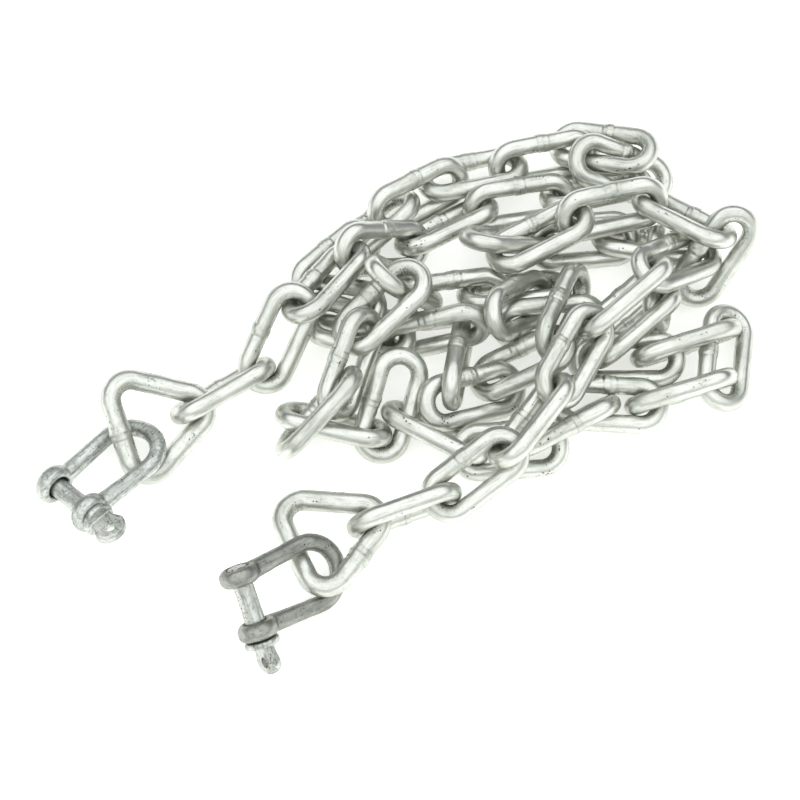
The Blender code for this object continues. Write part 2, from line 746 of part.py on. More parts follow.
def mesh_from_curve(curve, collection):
    """Mesh object of a curve whose caps are welded on."""
    guide = bpy.data.objects.new(curve.name + "_guide", curve)
    collection.objects.link(guide)
    bpy.context.view_layer.update()
    graph = bpy.context.evaluated_depsgraph_get()
    mesh = bpy.data.meshes.new_from_object(guide.evaluated_get(graph))
    build = bmesh.new()
    build.from_mesh(mesh)
    bmesh.ops.remove_doubles(build, verts=build.verts, dist=0.001 * MM)
    bmesh.ops.recalc_face_normals(build, faces=build.faces)
    build.to_mesh(mesh)
    build.free()
    thing = bpy.data.objects.new(curve.name, mesh)
    thing.matrix_world = guide.matrix_world
    collection.objects.link(thing)
    bpy.data.objects.remove(guide)
    return thing


def cylinder(name, radius, start, end, sides, collection, along="X", parent=None):
    """Cylinder along X or Z of its parent, from start to end."""
    mesh = bpy.data.meshes.new(name)
    build = bmesh.new()
    bmesh.ops.create_cone(build, cap_ends=True, segments=sides, radius1=radius * MM, radius2=radius * MM,
                          depth=(end - start) * MM)
    if along == "X":
        bmesh.ops.rotate(build, verts=build.verts, matrix=Matrix.Rotation(math.pi / 2, 3, "Y"))
    middle = Vector((1, 0, 0)) if along == "X" else Vector((0, 0, 1))
    bmesh.ops.translate(build, verts=build.verts, vec=middle * (start + end) / 2 * MM)
    build.to_mesh(mesh)
    build.free()
    thing = bpy.data.objects.new(name, mesh)
    collection.objects.link(thing)
    thing.parent = parent
    return thing


def as_cutter(thing):
    thing.hide_render = True
    thing.display_type = "WIRE"


def add_boolean(thing, other, operation):
    modifier = thing.modifiers.new(other.name, "BOOLEAN")
    modifier.operation = operation
    modifier.solver = "EXACT"
    modifier.object = other
    as_cutter(other)


def smooth_rounds(thing):
    thing.data.shade_smooth()
    thing.data.set_sharp_from_angle(angle=math.radians(40))


def make_bow(name, parts, cutters, material):
    """Bow of a shackle: the bent bar, an eye at each end and the two holes."""
    bow = mesh_from_curve(bar_curve(name, bow_outline(), BOW_RADIUS, material, closed=False), parts)
    half = EYE_THICKNESS / 2
    for side, word in ((-1, "threaded"), (1, "plain")):
        middle = side * EYE_SPACING / 2
        eye = cylinder(f"{name}_{word}_eye", EYE_DIAMETER / 2, middle - half, middle + half, EYE_SIDES,
                       cutters, parent=bow)
        add_boolean(bow, eye, "UNION")
    outer = EYE_SPACING / 2 + EYE_THICKNESS
    hole = cylinder(f"{name}_pin_hole", PIN_HOLE / 2, -outer, outer, PIN_SIDES, cutters, parent=bow)
    add_boolean(bow, hole, "DIFFERENCE")
    smooth_rounds(bow)
    return bow


def make_tab(name, collection, parent):
    """Flat tab of the pin."""
    curve = bpy.data.curves.new(name, "CURVE")
    curve.dimensions = "2D"
    curve.fill_mode = "BOTH"
    curve.extrude = TAB_THICKNESS / 2 * MM
    spline = curve.splines.new("POLY")
    outline = tab_outline()
    spline.points.add(len(outline) - 1)
    spline.use_cyclic_u = True
    for k, (x, y) in enumerate(outline):
        spline.points[k].co = (x * MM, y * MM, 0.0, 1.0)
    tab = mesh_from_curve(curve, collection)
    tab.parent = parent
    return tab


def make_pin(name, parts, cutters, material):
    """Screw pin: shaft, collar and tab in one piece, with a hole in the tab."""
    tip = -(EYE_SPACING + EYE_THICKNESS) / 2
    pin = cylinder(name, PIN_DIAMETER / 2, tip, COLLAR_START + SUNK, PIN_SIDES, parts)
    pin.data.materials.append(material)
    collar = cylinder(f"{name}_collar", COLLAR_DIAMETER / 2, COLLAR_START, COLLAR_END, EYE_SIDES, cutters,
                      parent=pin)
    add_boolean(pin, collar, "UNION")
    add_boolean(pin, make_tab(f"{name}_tab", cutters, pin), "UNION")
    hole = cylinder(f"{name}_tab_hole", TAB_HOLE / 2, -TAB_THICKNESS, TAB_THICKNESS, TAB_HOLE_SIDES, cutters,
                    along="Z", parent=pin)
    hole.location = ((COLLAR_END + TAB_LENGTH * 0.55) * MM, 0.0, 0.0)
    add_boolean(pin, hole, "DIFFERENCE")
    smooth_rounds(pin)
    return pin


def place(thing, centre, frame, turn=0.0):
    """Puts an object at a pose, turned about its own X first."""
    matrix = Matrix([list(row) for row in frame]).to_4x4() @ Matrix.Rotation(turn, 4, "X")
    thing.location = [value * MM for value in centre]
    thing.rotation_euler = matrix.to_euler()


def centre_on_floor(parts):
    """Moves all the parts together so that their box stands on the floor, centred on the origin."""
    bpy.context.view_layer.update()
    graph = bpy.context.evaluated_depsgraph_get()
    corners = []
    for part in parts:
        shape = part.evaluated_get(graph)
        mesh = shape.to_mesh()
        spots = np.array([part.matrix_world @ vertex.co for vertex in mesh.vertices])
        corners += [spots.min(axis=0), spots.max(axis=0)]
        shape.to_mesh_clear()
    low = np.min(corners, axis=0)
    high = np.max(corners, axis=0)
    shift = Vector(((low[0] + high[0]) / 2, (low[1] + high[1]) / 2, low[2]))
    for part in parts:
        part.location -= shift


def build_heap():
    clear_scene()
    parts = new_collection(PARTS_NAME)
    cutters = new_collection(CUTTERS_NAME)
    heap = seated_layout()
    poses = list(zip(heap.centres, heap.frames))
    made = []

    link_curve = bar_curve("chain_link", link_outline(), LINK_RADIUS,
                           zinc("link_zinc", LINK_ZINC, ZINC_ROUGHNESS), swell=link_swell())
    for number, entry in enumerate(CHAIN):
        link = bpy.data.objects.new(f"link_{number + 1:02d}", link_curve)
        parts.objects.link(link)
        # A weld on the other side is the same link turned over about its length
        place(link, *poses[number], turn=0.0 if entry[3] == 1 else math.pi)
        made.append(link)

    delta_curve = bar_curve("delta_link", delta_outline(), DELTA_RADIUS,
                            zinc("delta_zinc", DELTA_ZINC, ZINC_ROUGHNESS))
    bow_zinc = zinc("bow_zinc", BOW_ZINC, BOW_ROUGHNESS)
    pin_zinc = zinc("pin_zinc", PIN_ZINC, BOW_ROUGHNESS)
    for side, word in enumerate(("left", "front")):
        delta = bpy.data.objects.new(f"delta_link_{word}", delta_curve)
        parts.objects.link(delta)
        place(delta, *poses[len(CHAIN) + side])
        pose = poses[len(CHAIN) + len(DELTAS) + side]
        bow = make_bow(f"shackle_bow_{word}", parts, cutters, bow_zinc)
        place(bow, *pose)
        pin = make_pin(f"shackle_pin_{word}", parts, cutters, pin_zinc)
        place(pin, *pose, turn=math.radians(SHACKLES[side][3]))
        made += [delta, bow, pin]
    centre_on_floor(made)


build_heap()
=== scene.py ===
"""A heap of hot-dip galvanised welded chain, with a delta link and a screw-pin bow shackle at each end.

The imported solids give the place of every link. Each one is replaced by a finely made piece of the same size:
a bent bar with its butt weld, its uneven zinc and its flecks of dross.
"""

import math
import random

import bpy
import numpy as np
from mathutils import Matrix, Vector


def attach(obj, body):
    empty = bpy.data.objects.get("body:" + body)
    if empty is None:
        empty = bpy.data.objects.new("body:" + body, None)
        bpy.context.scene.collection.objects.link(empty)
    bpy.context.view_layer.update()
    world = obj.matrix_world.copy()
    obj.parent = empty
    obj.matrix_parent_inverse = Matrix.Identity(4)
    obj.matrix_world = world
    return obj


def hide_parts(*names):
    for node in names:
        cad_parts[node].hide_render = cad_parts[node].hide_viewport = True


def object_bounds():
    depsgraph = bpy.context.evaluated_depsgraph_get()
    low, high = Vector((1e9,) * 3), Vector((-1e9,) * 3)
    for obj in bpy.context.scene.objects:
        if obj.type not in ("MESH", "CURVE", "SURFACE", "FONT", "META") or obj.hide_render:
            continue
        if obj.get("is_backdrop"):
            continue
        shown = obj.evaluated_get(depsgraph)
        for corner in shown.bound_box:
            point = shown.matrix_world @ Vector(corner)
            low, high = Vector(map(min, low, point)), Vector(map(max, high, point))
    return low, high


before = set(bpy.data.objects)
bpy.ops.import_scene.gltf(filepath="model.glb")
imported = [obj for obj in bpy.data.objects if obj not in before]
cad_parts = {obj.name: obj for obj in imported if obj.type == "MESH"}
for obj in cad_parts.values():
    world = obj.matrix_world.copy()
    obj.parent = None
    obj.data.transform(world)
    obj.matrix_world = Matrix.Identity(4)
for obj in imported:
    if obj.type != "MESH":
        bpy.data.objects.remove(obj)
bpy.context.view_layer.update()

bl_info = {
    "name": "Chain Heap",
    "version": (1, 0, 0),
    "blender": (4, 5, 0),
    "location": "View3D > Sidebar > Chain Heap",
    "description": "Dresses a heap of galvanised welded chain and sets it in a plain studio",
    "category": "Object",
}

MM = 0.001

# Chain link, in millimetres: its bar's centre line is two straights and two half circles, laid out for the
# bar's real size. Each round bar here is drawn nearly as thick as its flat-sided solid is across the corners
LINK_BAR = 8.3
LINK_PITCH_BAR = 8.0
LINK_LENGTH = 54.0
LINK_WIDTH = 26.0
LINK_SIDES = 28

# Delta link, in millimetres: three straights and three bends. Its weld has a bead, and its zinc is rougher
DELTA_BAR = 9.36
DELTA_SIDE = 57.0
DELTA_BEND = 9.0
DELTA_SIDES = 36
DELTA_BEAD = 0.5
DELTA_ROUGHER = 1.6

# Rings along a bar, in millimetres apart: closer within the weld's zone and in a delta's bends, and wider on
# the side of a link that has no weld
RING_SPACING = 0.85
WELD_RING_SPACING = 0.4
DELTA_BEND_SPACING = RING_SPACING * 0.8
PLAIN_SIDE_SPACING = RING_SPACING * 1.2
WELD_ZONE = 6.5

# Bends: the turn from ring to ring, in radians, that counts as bent, the rings over which a bend begins, and
# how much a bar is flattened in it, as a share of its radius
BENT_TURN = 0.02
BEND_RINGS = 5
LINK_SQUEEZE = 0.02
DELTA_SQUEEZE = 0.015

# Butt weld, in millimetres along the bar: half its swelling's length at least and at most, how far its seam
# wavers, the groove's gap from the swelling, the clamp marks' distance from the seam, and how far the
# ridge, groove, bead, clamp marks, dark seam and heat each reach
WELD_HALF_LENGTH = (1.9, 3.4)
SEAM_WAVER = 0.5
RIDGE_REACH = 0.55
GROOVE_GAP = 0.6
GROOVE_REACH = 0.5
BEAD_REACH = 0.9
CLAMP_PLACE = 9.0
CLAMP_REACH = 2.5
SEAM_REACH = 0.3
WELD_HEAT_REACH = 5.0

# Shares of the weld's height that its forms have, the clamp marks' depth as a share of the radius, and how
# many of them there are round the bar
SWELLING_SHARE = 0.75
RIDGE_SHARE = 0.55
GROOVE_SHARE = 0.25
CLAMP_DEPTH = 0.012
CLAMP_MARKS = 4

# Misfit of the bar's two ends at the weld, in millimetres: the most that they miss each other by, the length
# over which they cross, and how far along the bar the misfit reaches
MISFIT = 0.16
MISFIT_EDGE = 0.5
MISFIT_REACH = 7.0

# How dark the rims of the swelling and the seam are, at least and at most
RIM_DARKNESS = (0.1, 0.6)
SEAM_DARKNESS = (0.3, 1.0)

# Waves in the zinc: the long and the short ones' lengths in millimetres, and the short ones' share of the
# height. Each wave's own length is a share of these, within the range. A ripple round a bar starts
# anywhere in about one turn, in radians
BAR_WAVES = (9.0, 2.6, 0.45)
FORGED_WAVES = (7.0, 2.4, 0.5)
WAVE_RANGE = (0.8, 1.6)
ABOUT_A_TURN = 6

# Lumps of zinc: how many there are, their radii and their heights in millimetres
BAR_LUMPS = ((4, 8), (0.7, 1.5), (0.08, 0.22))
WELD_LUMPS = ((1, 3), (0.7, 1.3), (0.12, 0.3))
WELD_LUMP_REACH = 2.5
FORGED_LUMPS = ((8, 14), (0.7, 1.6), (0.08, 0.25))

# Bow shackle, in millimetres: its bar runs from inside one eye to inside the other. Its foot near each eye
# is thicker, by a share that falls off over so many steps
BOW_BAR = 7.7
BOW_LENGTH = 47.0
BOW_ROUND = 14.0
BOW_SIDES = 20
LEG_STEPS = 14
ARC_STEPS = 32
FOOT_STEPS = 12
FOOT_THICKER = 0.10
FOOT_FALL = 2.2
EYE_SPACING = 25.0
EYE_DIAMETER = 18.2
EYE_THICKNESS = 8.0
EYE_EDGE = 3.4
EYE_SIDES = 48
BAR_IN_EYE = 3.0
HOLE_FLARE = 1.1
HOLE_SIDES = 40
PIN_HOLE = 9.8
DRILL_OVERRUN = 1.0

# Screw pin of the shackle, in millimetres: its shaft, its collar beside the eye and its flat tab, which are
# sunk into each other to be joined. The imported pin's tip is what lies within the tip's depth of its end
PIN_DIAMETER = 9.0
PIN_TIP = -(EYE_SPACING + EYE_THICKNESS) / 2
SHAFT_EDGE = 0.7
SHAFT_SIDES = 40
FIT_GAP = 0.3
COLLAR_START = (EYE_SPACING + EYE_THICKNESS) / 2 + FIT_GAP
COLLAR_DIAMETER = 15.6
COLLAR_THICKNESS = 3.0
COLLAR_EDGE = 1.1
COLLAR_SIDES = 48
SUNK = 1.5
TAB_THICKNESS = 4.4
TAB_LENGTH = 13.0
TAB_NECK = 11.0
TAB_NECK_LENGTH = 2.0
TAB_WIDTH = 15.0
TAB_ROUND = 0.42
TAB_EDGE = 1.1
TAB_HOLE = 5.0
TAB_HOLE_PLACE = 0.55
TAB_HOLE_SIDES = 28
TAB_SHOULDER_STEPS = 4
TAB_END_STEPS = 12
TAB_EDGE_STEPS = 8
TIP_DEPTH = 0.1

# Forged skin: rounds of smoothing, the waves' heights in millimetres, the size of the pins' mesh cells as a
# share of the bows', and the smallest corner in degrees that stays sharp
BOW_SMOOTHING = 8
PIN_SMOOTHING = 5
SMOOTHING_FACTOR = 0.5
BOW_UNEVENNESS = 0.06
PIN_UNEVENNESS = 0.04
PIN_VOXEL_SHARE = 0.8
SHARP_CORNER = 50

# Painted shade round a pin's hole, where the pin meets the eye, and rust around a pin's tip, in millimetres
HOLE_SHADE_REACH = 0.9
RUST_REACH = 2.2
RUST_RADIUS = 8.0

# Ends of the chain: the side that each delta's weld faces in plan, and how far each pin is screwed round, in
# degrees
ENDS = {
    "left": {"weld_faces": (-1.0, -0.15), "pin_turn": 0.0},
    "front": {"weld_faces": (0.8, -0.6), "pin_turn": 90.0},
}

# First seeds of the dice. A link's seed is its own number
DELTA_SEED = 100
BOW_SEED = 200
PIN_SEED = 300

# Patterns in the zinc, in millimetres: their sizes and the depths of their bumps. Streaks and patches are
# drawn out along the bar, so their scale is smaller that way than across it
PATCH_SIZE = 7.0
STREAK_SIZE = 0.8
MOTTLE_SIZE = 1.5
BAND_SIZE = 4.5
SWELL_SIZE = 5.0
SWELL_DEPTH = 0.14
STREAK_DEPTH = 0.03
PIT_DEPTH = 0.10
STREAK_STRETCH = (0.1, 1.0, 1.0)
PATCH_STRETCH = (0.4, 1.0, 1.0)

# Shares of grey, of dark and of roughness that wear, the weld and the painted shade round a pin's hole give
# the zinc
BEND_GREY = 0.5
WELD_GREY = 0.22
BEND_FLECKS = 0.7
SEAM_DARK = 0.55
HOLE_SHADE_DARK = 0.85
DULL_ROUGHER = 0.16
FLECK_ROUGHER = 0.3

# Colour of the zinc at a grazing look, where its oxide takes some of the light
EDGE_TINT = (0.82, 0.84, 0.83)

# Camera, in millimetres and degrees: the photograph looks down on the heap from in front. Its focal length
# is in pixels of a frame as wide as the photograph
CAMERA_ELEVATION = 63.0
CAMERA_DISTANCE = 1200.0
CAMERA_AIM = (-1.1, -2.7, 0.0)
CAMERA_SENSOR = 36.0
CAMERA_REACH = 20000.0
FRAME_PIXELS = 800
FOCAL_PIXELS = 2628

# Floor, in millimetres from its middle to each side
FLOOR_HALF_WIDTH = 4000.0

# Room: a band of darker walls runs round the heap, between a pale sweep below and a dome above. These are
# the sines of the angles above the horizon where the band begins and ends, softly, and the places from
# front to back between which its front turns into its back
WALL_BEGINS = (0.06, 0.16)
WALL_ENDS = (0.42, 0.68)
WALL_TURN = (-0.3, 0.4)


def linear(code):
    """Linear colour of an sRGB hex code."""
    shares = [int(code[k:k + 2], 16) / 255 for k in (1, 3, 5)]
    return tuple(s / 12.92 if s <= 0.04045 else ((s + 0.055) / 1.055) ** 2.4 for s in shares)


class ChainSettings(bpy.types.PropertyGroup):
    """Sizes and colours of the chain's own links and delta links."""
    zinc: bpy.props.FloatVectorProperty(
        name="Zinc", description="Colour of the bright zinc on the links", subtype="COLOR", size=3,
        min=0.0, max=1.0, default=linear("#E3E4DE"))
    dull_zinc: bpy.props.FloatVectorProperty(
        name="Dull zinc", description="Colour of the zinc where it has gone grey", subtype="COLOR", size=3,
        min=0.0, max=1.0, default=linear("#B6B9B0"))
    dross: bpy.props.FloatVectorProperty(
        name="Dross", description="Colour of the small flecks in the zinc", subtype="COLOR", size=3,
        min=0.0, max=1.0, default=linear("#3E423C"))
    weld_height: bpy.props.FloatProperty(
        name="Weld height", description="How far a link's weld stands above its bar", subtype="DISTANCE",
        unit="LENGTH", min=0.0, max=0.001, default=0.36 * MM)
    unevenness: bpy.props.FloatProperty(
        name="Unevenness", description="Height of the waves in the zinc", subtype="DISTANCE",
        unit="LENGTH", min=0.0, max=0.0005, default=0.05 * MM)


class ShackleSettings(bpy.types.PropertyGroup):
    """Colours of the two bow shackles and of their screw pins."""
    forging: bpy.props.FloatVectorProperty(
        name="Forging", description="Colour of the bows' zinc", subtype="COLOR", size=3,
        min=0.0, max=1.0, default=linear("#DCDFDB"))
    worn_forging: bpy.props.FloatVectorProperty(
        name="Worn forging", description="Colour of the front bow's duller zinc", subtype="COLOR", size=3,
        min=0.0, max=1.0, default=linear("#ADAEA8"))
    pin: bpy.props.FloatVectorProperty(
        name="Pin", description="Colour of the pins' zinc", subtype="COLOR", size=3,
        min=0.0, max=1.0, default=linear("#D6D8D3"))
    stain: bpy.props.FloatVectorProperty(
        name="Stain", description="Colour of the dark stains on the bows and pins", subtype="COLOR", size=3,
        min=0.0, max=1.0, default=linear("#82867F"))
    # Besides colouring the flecks in the forged zinc, this colour paints the shade round the pins' holes
    pit_grime_and_hole_shade: bpy.props.FloatVectorProperty(
        name="Grime", description="Colour of the dark dirt in pits and around the pins", subtype="COLOR",
        size=3, min=0.0, max=1.0, default=linear("#3C3E3A"))
    rust: bpy.props.FloatVectorProperty(
        name="Rust", description="Colour of the rust at the front pin's tip", subtype="COLOR", size=3,
        min=0.0, max=1.0, default=linear("#6A4A38"))
    voxel: bpy.props.FloatProperty(
        name="Grain", description="Size of the mesh cells of the forged pieces", subtype="DISTANCE",
        unit="LENGTH", min=0.0002, max=0.001, default=0.42 * MM)


class StudioSettings(bpy.types.PropertyGroup):
    """Floor, dome and walls of the studio."""
    floor: bpy.props.FloatVectorProperty(
        name="Floor", description="Colour of the floor", subtype="COLOR", size=3,
        min=0.0, max=1.0, default=linear("#FAFAF8"))
    floor_glow: bpy.props.FloatProperty(
        name="Floor glow", description="Light that comes up through the floor", min=0.0, max=2.0, default=0.5)
    dome: bpy.props.FloatVectorProperty(
        name="Dome", description="Colour of the pale cloth dome above the heap", subtype="COLOR", size=3,
        min=0.0, max=1.0, default=linear("#F7FAFA"))
    dome_strength: bpy.props.FloatProperty(
        name="Dome strength", description="How brightly the dome is lit", min=0.0, max=4.0, default=1.45)
    back_wall: bpy.props.FloatVectorProperty(
        name="Back wall", description="Colour of the room behind the heap, below the dome", subtype="COLOR",
        size=3, min=0.0, max=1.0, default=linear("#3E4244"))
    front_wall: bpy.props.FloatVectorProperty(
        name="Front wall", description="Colour of the room in front of the heap, below the dome",
        subtype="COLOR", size=3, min=0.0, max=1.0, default=linear("#B8BCB9"))


def node_points(node):
    """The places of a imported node's corners, in millimetres, each one once."""
    corners = [vertex.co[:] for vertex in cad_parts[node].data.vertices]
    return np.unique(np.round(np.array(corners) / MM, 3), axis=0)


def own_axes(points):
    """Middle of a set of points and their own axes as columns, the longest first, right-handed."""
    middle = points.mean(axis=0)
    _, axes = np.linalg.eigh(np.cov((points - middle).T))
    longest, shortest = axes[:, 2], axes[:, 0]
    return middle, np.stack([longest, np.cross(shortest, longest), shortest], axis=1)


def half_way(values):
    """Middle of a range of values."""
    return (values.min() + values.max()) / 2


def link_pose(node):
    """Middle and axes of a link: X along it, Y towards its weld, Z across its ring."""
    points = node_points(node)
    middle, axes = own_axes(points)
    local = (points - middle) @ axes
    weld_side = local[np.abs(local[:, 0]) < LINK_LENGTH / 8, 1].mean()
    if weld_side < 0:
        axes[:, :2] *= -1
        local[:, :2] *= -1
    ends = local[np.abs(local[:, 0]) > LINK_LENGTH / 4]
    offset = [half_way(local[:, 0]), half_way(ends[:, 1]), half_way(local[:, 2])]
    return middle + axes @ offset, axes


def delta_pose(node, weld_faces):
    """Middle and axes of a delta link: a corner along X, its weld in the middle of the side opposite X."""
    points = node_points(node)
    middle, axes = own_axes(points)
    normal = axes[:, 2] * (1 if axes[2, 2] > 0 else -1)
    across = np.cross(normal, (1.0, 0.0, 0.0))
    across /= np.linalg.norm(across)
    along = np.cross(across, normal)
    flat = (points - middle) @ along + 1j * ((points - middle) @ across)
    first_corner = np.angle((flat ** 3).sum()) / 3
    facing = along * weld_faces[0] + across * weld_faces[1]
    choices = [first_corner + 2 * math.pi * k / 3 for k in range(3)]
    corners = [along * math.cos(turn) + across * math.sin(turn) for turn in choices]
    corner = min(corners, key=lambda c: float(c @ facing))
    return middle, np.stack([corner, np.cross(normal, corner), normal], axis=1)


def shackle_pose(bow, pin):
    """Middle between a shackle's eyes and its axes: X along the pin to the tab, Y to the bow's far end."""
    points = node_points(bow)
    pin_points = node_points(pin)
    middle, axes = own_axes(points)
    forward, along = axes[:, 0], axes[:, 1]
    reach = (points - middle) @ forward
    if reach.max() < -reach.min():
        forward = -forward
    pin_reach = (pin_points - middle) @ along
    if pin_reach.max() < -pin_reach.min():
        along = -along
        pin_reach = -pin_reach
    tip = pin_points[pin_reach < pin_reach.min() + TIP_DEPTH].mean(axis=0)
    bow_reach = (points - middle) @ along
    origin = tip + along * (half_way(bow_reach) - pin_reach.min())
    return origin, np.stack([along, forward, np.cross(along, forward)], axis=1)


def pose_matrix(middle, axes, turn=0.0):
    """World matrix of a piece whose mesh is in its own axes, turned about its own X first."""
    matrix = Matrix([list(row) for row in axes]).to_4x4() @ Matrix.Rotation(math.radians(turn), 4, "X")
    matrix.translation = Vector(middle) * MM
    return matrix


def waves(places, wave_length, dice, count=10):
    """A smooth uneven height between about -1 and 1 at each place, from waves that run every way."""
    height = np.zeros(len(places))
    for _ in range(count):
        way = np.array([dice.gauss(0, 1) for _ in range(3)])
        way *= 2 * math.pi / (wave_length * dice.uniform(*WAVE_RANGE) * np.linalg.norm(way))
        height += np.sin(places @ way + dice.uniform(0, 2 * math.pi))
    return height / math.sqrt(2 * count)


def uneven_zinc(places, height, wave_set, dice):
    """Rise of the wavy zinc at each place: long waves, with short ones on them."""
    long_wave, short_wave, short_share = wave_set
    return height * waves(places, long_wave, dice) + height * short_share * waves(places, short_wave, dice)


def ripple(angle, times, dice):
    """A wave that runs so many times round a bar, from a place that the dice choose."""
    return np.sin(times * angle + dice.uniform(0, ABOUT_A_TURN))


def scattered_lumps(places, lump_set, dice):
    """Lumps of zinc at places that the dice choose: the middle, radius and height of each."""
    counts, radii, heights = lump_set
    return [(places[dice.randrange(len(places))], dice.uniform(*radii), dice.uniform(*heights))
            for _ in range(dice.randint(*counts))]


def weld_lumps(rings, from_weld, dice):
    """Lumps of zinc near a weld, on the rings of its bar."""
    counts, radii, heights = WELD_LUMPS
    spots = []
    for _ in range(dice.randint(*counts)):
        ring = int(np.argmin(np.abs(from_weld - dice.uniform(-WELD_LUMP_REACH, WELD_LUMP_REACH))))
        middle = rings[ring, dice.randrange(rings.shape[1])]
        spots.append((middle, dice.uniform(*radii), dice.uniform(*heights)))
    return spots


def lumps(places, spots):
    """Height of the small lumps of zinc at each place. A spot is its middle, its radius and its height."""
    height = np.zeros(len(places))
    for middle, radius, rise in spots:
        away = np.sum((places - middle) ** 2, axis=1)
        height += rise * np.exp(-away / (2 * (radius / 2) ** 2))
    return height


def bar_line(runs):
    """Stations along a flat closed bar: middle, outward way and distance along, each for one ring.

    A run is a straight (start, end) or a bend (centre, radius, first angle, last angle), with its spacing.
    """
    middles, ways, distances = [], [], []
    travelled = 0.0
    for run in runs:
        kind, spacing = run[0], run[-1]
        if kind == "straight":
            start, end = np.array(run[1]), np.array(run[2])
            length = float(np.linalg.norm(end - start))
            along = (end - start) / length
            outward = np.array([along[1], -along[0]])
        else:
            centre, radius, first, last = run[1:5]
            length = radius * abs(last - first)
        count = max(1, round(length / spacing))
        for step in range(count):
            share = step / count
            if kind == "straight":
                middle = start + (end - start) * share
            else:
                turn = first + (last - first) * share
                outward = np.array([math.cos(turn), math.sin(turn)])
                middle = np.array(centre) + radius * outward
            middles.append(middle)
            ways.append(outward)
            distances.append(travelled + length * share)
        travelled += length
    return np.array(middles), np.array(ways), np.array(distances)


def link_line():
    """Stations of a link, anticlockwise from the middle of the +Y side, where the weld is."""
    bend = (LINK_WIDTH - LINK_PITCH_BAR) / 2
    straight = (LINK_LENGTH - LINK_PITCH_BAR) / 2 - bend
    quarter = math.pi / 2
    return bar_line([
        ("straight", (0, bend), (-WELD_ZONE, bend), WELD_RING_SPACING),
        ("straight", (-WELD_ZONE, bend), (-straight, bend), RING_SPACING),
        ("bend", (-straight, 0), bend, quarter, 3 * quarter, RING_SPACING),
        ("straight", (-straight, -bend), (straight, -bend), PLAIN_SIDE_SPACING),
        ("bend", (straight, 0), bend, -quarter, quarter, RING_SPACING),
        ("straight", (straight, bend), (WELD_ZONE, bend), RING_SPACING),
        ("straight", (WELD_ZONE, bend), (0, bend), WELD_RING_SPACING),
    ])


def delta_line():
    """Stations of a delta link, anticlockwise from the middle of the side at -X, where the weld is."""
    reach = DELTA_SIDE / math.sqrt(3) - 2 * DELTA_BEND
    headings = (-2 * math.pi / 3, 0, 2 * math.pi / 3)
    corners = [(reach * math.cos(heading), reach * math.sin(heading)) for heading in headings]
    third = math.pi / 3

    def rim(corner, angle):
        return (corners[corner][0] + DELTA_BEND * math.cos(angle),
                corners[corner][1] + DELTA_BEND * math.sin(angle))

    side_x = rim(0, -math.pi)[0]
    runs = [("straight", (side_x, 0), (side_x, -WELD_ZONE), WELD_RING_SPACING),
            ("straight", (side_x, -WELD_ZONE), rim(0, -math.pi), RING_SPACING)]
    for corner, heading in enumerate(headings):
        first, last = heading - third, heading + third
        runs.append(("bend", corners[corner], DELTA_BEND, first, last, DELTA_BEND_SPACING))
        if corner < 2:
            runs.append(("straight", rim(corner, last), rim(corner + 1, last), RING_SPACING))
    runs.append(("straight", rim(2, math.pi), (side_x, WELD_ZONE), RING_SPACING))
    runs.append(("straight", (side_x, WELD_ZONE), (side_x, 0), WELD_RING_SPACING))
    return bar_line(runs)


def bend_shares(outward):
    """How much each ring of a closed bar is in a bend, from 0 to 1."""
    turning = np.gradient(np.unwrap(np.arctan2(outward[:, 1], outward[:, 0])))
    thrice = np.tile(np.abs(turning) > BENT_TURN, 3).astype(float)
    softened = np.convolve(thrice, np.ones(BEND_RINGS) / BEND_RINGS, "same")
    return softened[len(turning):2 * len(turning)]


def welded(radius, from_weld, angle, weld_height, bead, dice):
    """Radius of a bar with its butt weld: an upset swelling, a seam with a ragged ridge, and clamp marks.

    Gives it with the distance of each place from the wavering seam, and half the swelling's length.
    """
    waver = 0.5 * ripple(angle, 1, dice) + 0.3 * ripple(angle, 3, dice)
    across = from_weld[:, None] - waver[None, :] * SEAM_WAVER
    collar = dice.uniform(*WELD_HALF_LENGTH)
    swelling = np.exp(-(np.abs(across) / collar) ** 8)
    ragged = 0.55 + 0.45 * ripple(angle, 2, dice) * ripple(angle, 5, dice)
    ridge = np.exp(-(across / RIDGE_REACH) ** 2) * ragged[None, :]
    groove = np.exp(-((np.abs(across) - collar - GROOVE_GAP) / GROOVE_REACH) ** 2)
    radius = radius + weld_height * (swelling * SWELLING_SHARE + ridge * RIDGE_SHARE - groove * GROOVE_SHARE)
    radius = radius + bead * np.exp(-(across / BEAD_REACH) ** 2) * (0.6 + 0.4 * ripple(angle, 1, dice))
    clamped = np.exp(-((np.abs(from_weld) - CLAMP_PLACE) / CLAMP_REACH) ** 4)[:, None]
    pressed = (1 + np.cos(CLAMP_MARKS * angle + dice.uniform(0, ABOUT_A_TURN)))[None, :]
    return radius * (1 - CLAMP_DEPTH * clamped * pressed / 2), across, collar


def seam_marks(across, collar, angle, dice):
    """How dark the rims of a weld's swelling and its seam are. Both are broken round the bar."""
    broken = np.clip(0.5 + 1.2 * ripple(angle, 1, dice) * ripple(angle, 3, dice), 0, 1)
    rims = np.exp(-((np.abs(across) - collar) / SEAM_REACH) ** 2) * broken[None, :]
    rims *= dice.uniform(*RIM_DARKNESS)
    seam = np.exp(-(across / SEAM_REACH) ** 2) * (1 - broken)[None, :]
    seam *= dice.uniform(*SEAM_DARKNESS)
    return np.maximum(rims, seam)


def skin_faces(rings, sides, closed):
    """Faces of the skin between rings of corners, and from the last ring to the first if it is closed."""
    faces = []
    for ring in range(rings if closed else rings - 1):
        following = (ring + 1) % rings
        for side in range(sides):
            beside = (side + 1) % sides
            faces.append((ring * sides + side, ring * sides + beside,
                          following * sides + beside, following * sides + side))
    return faces


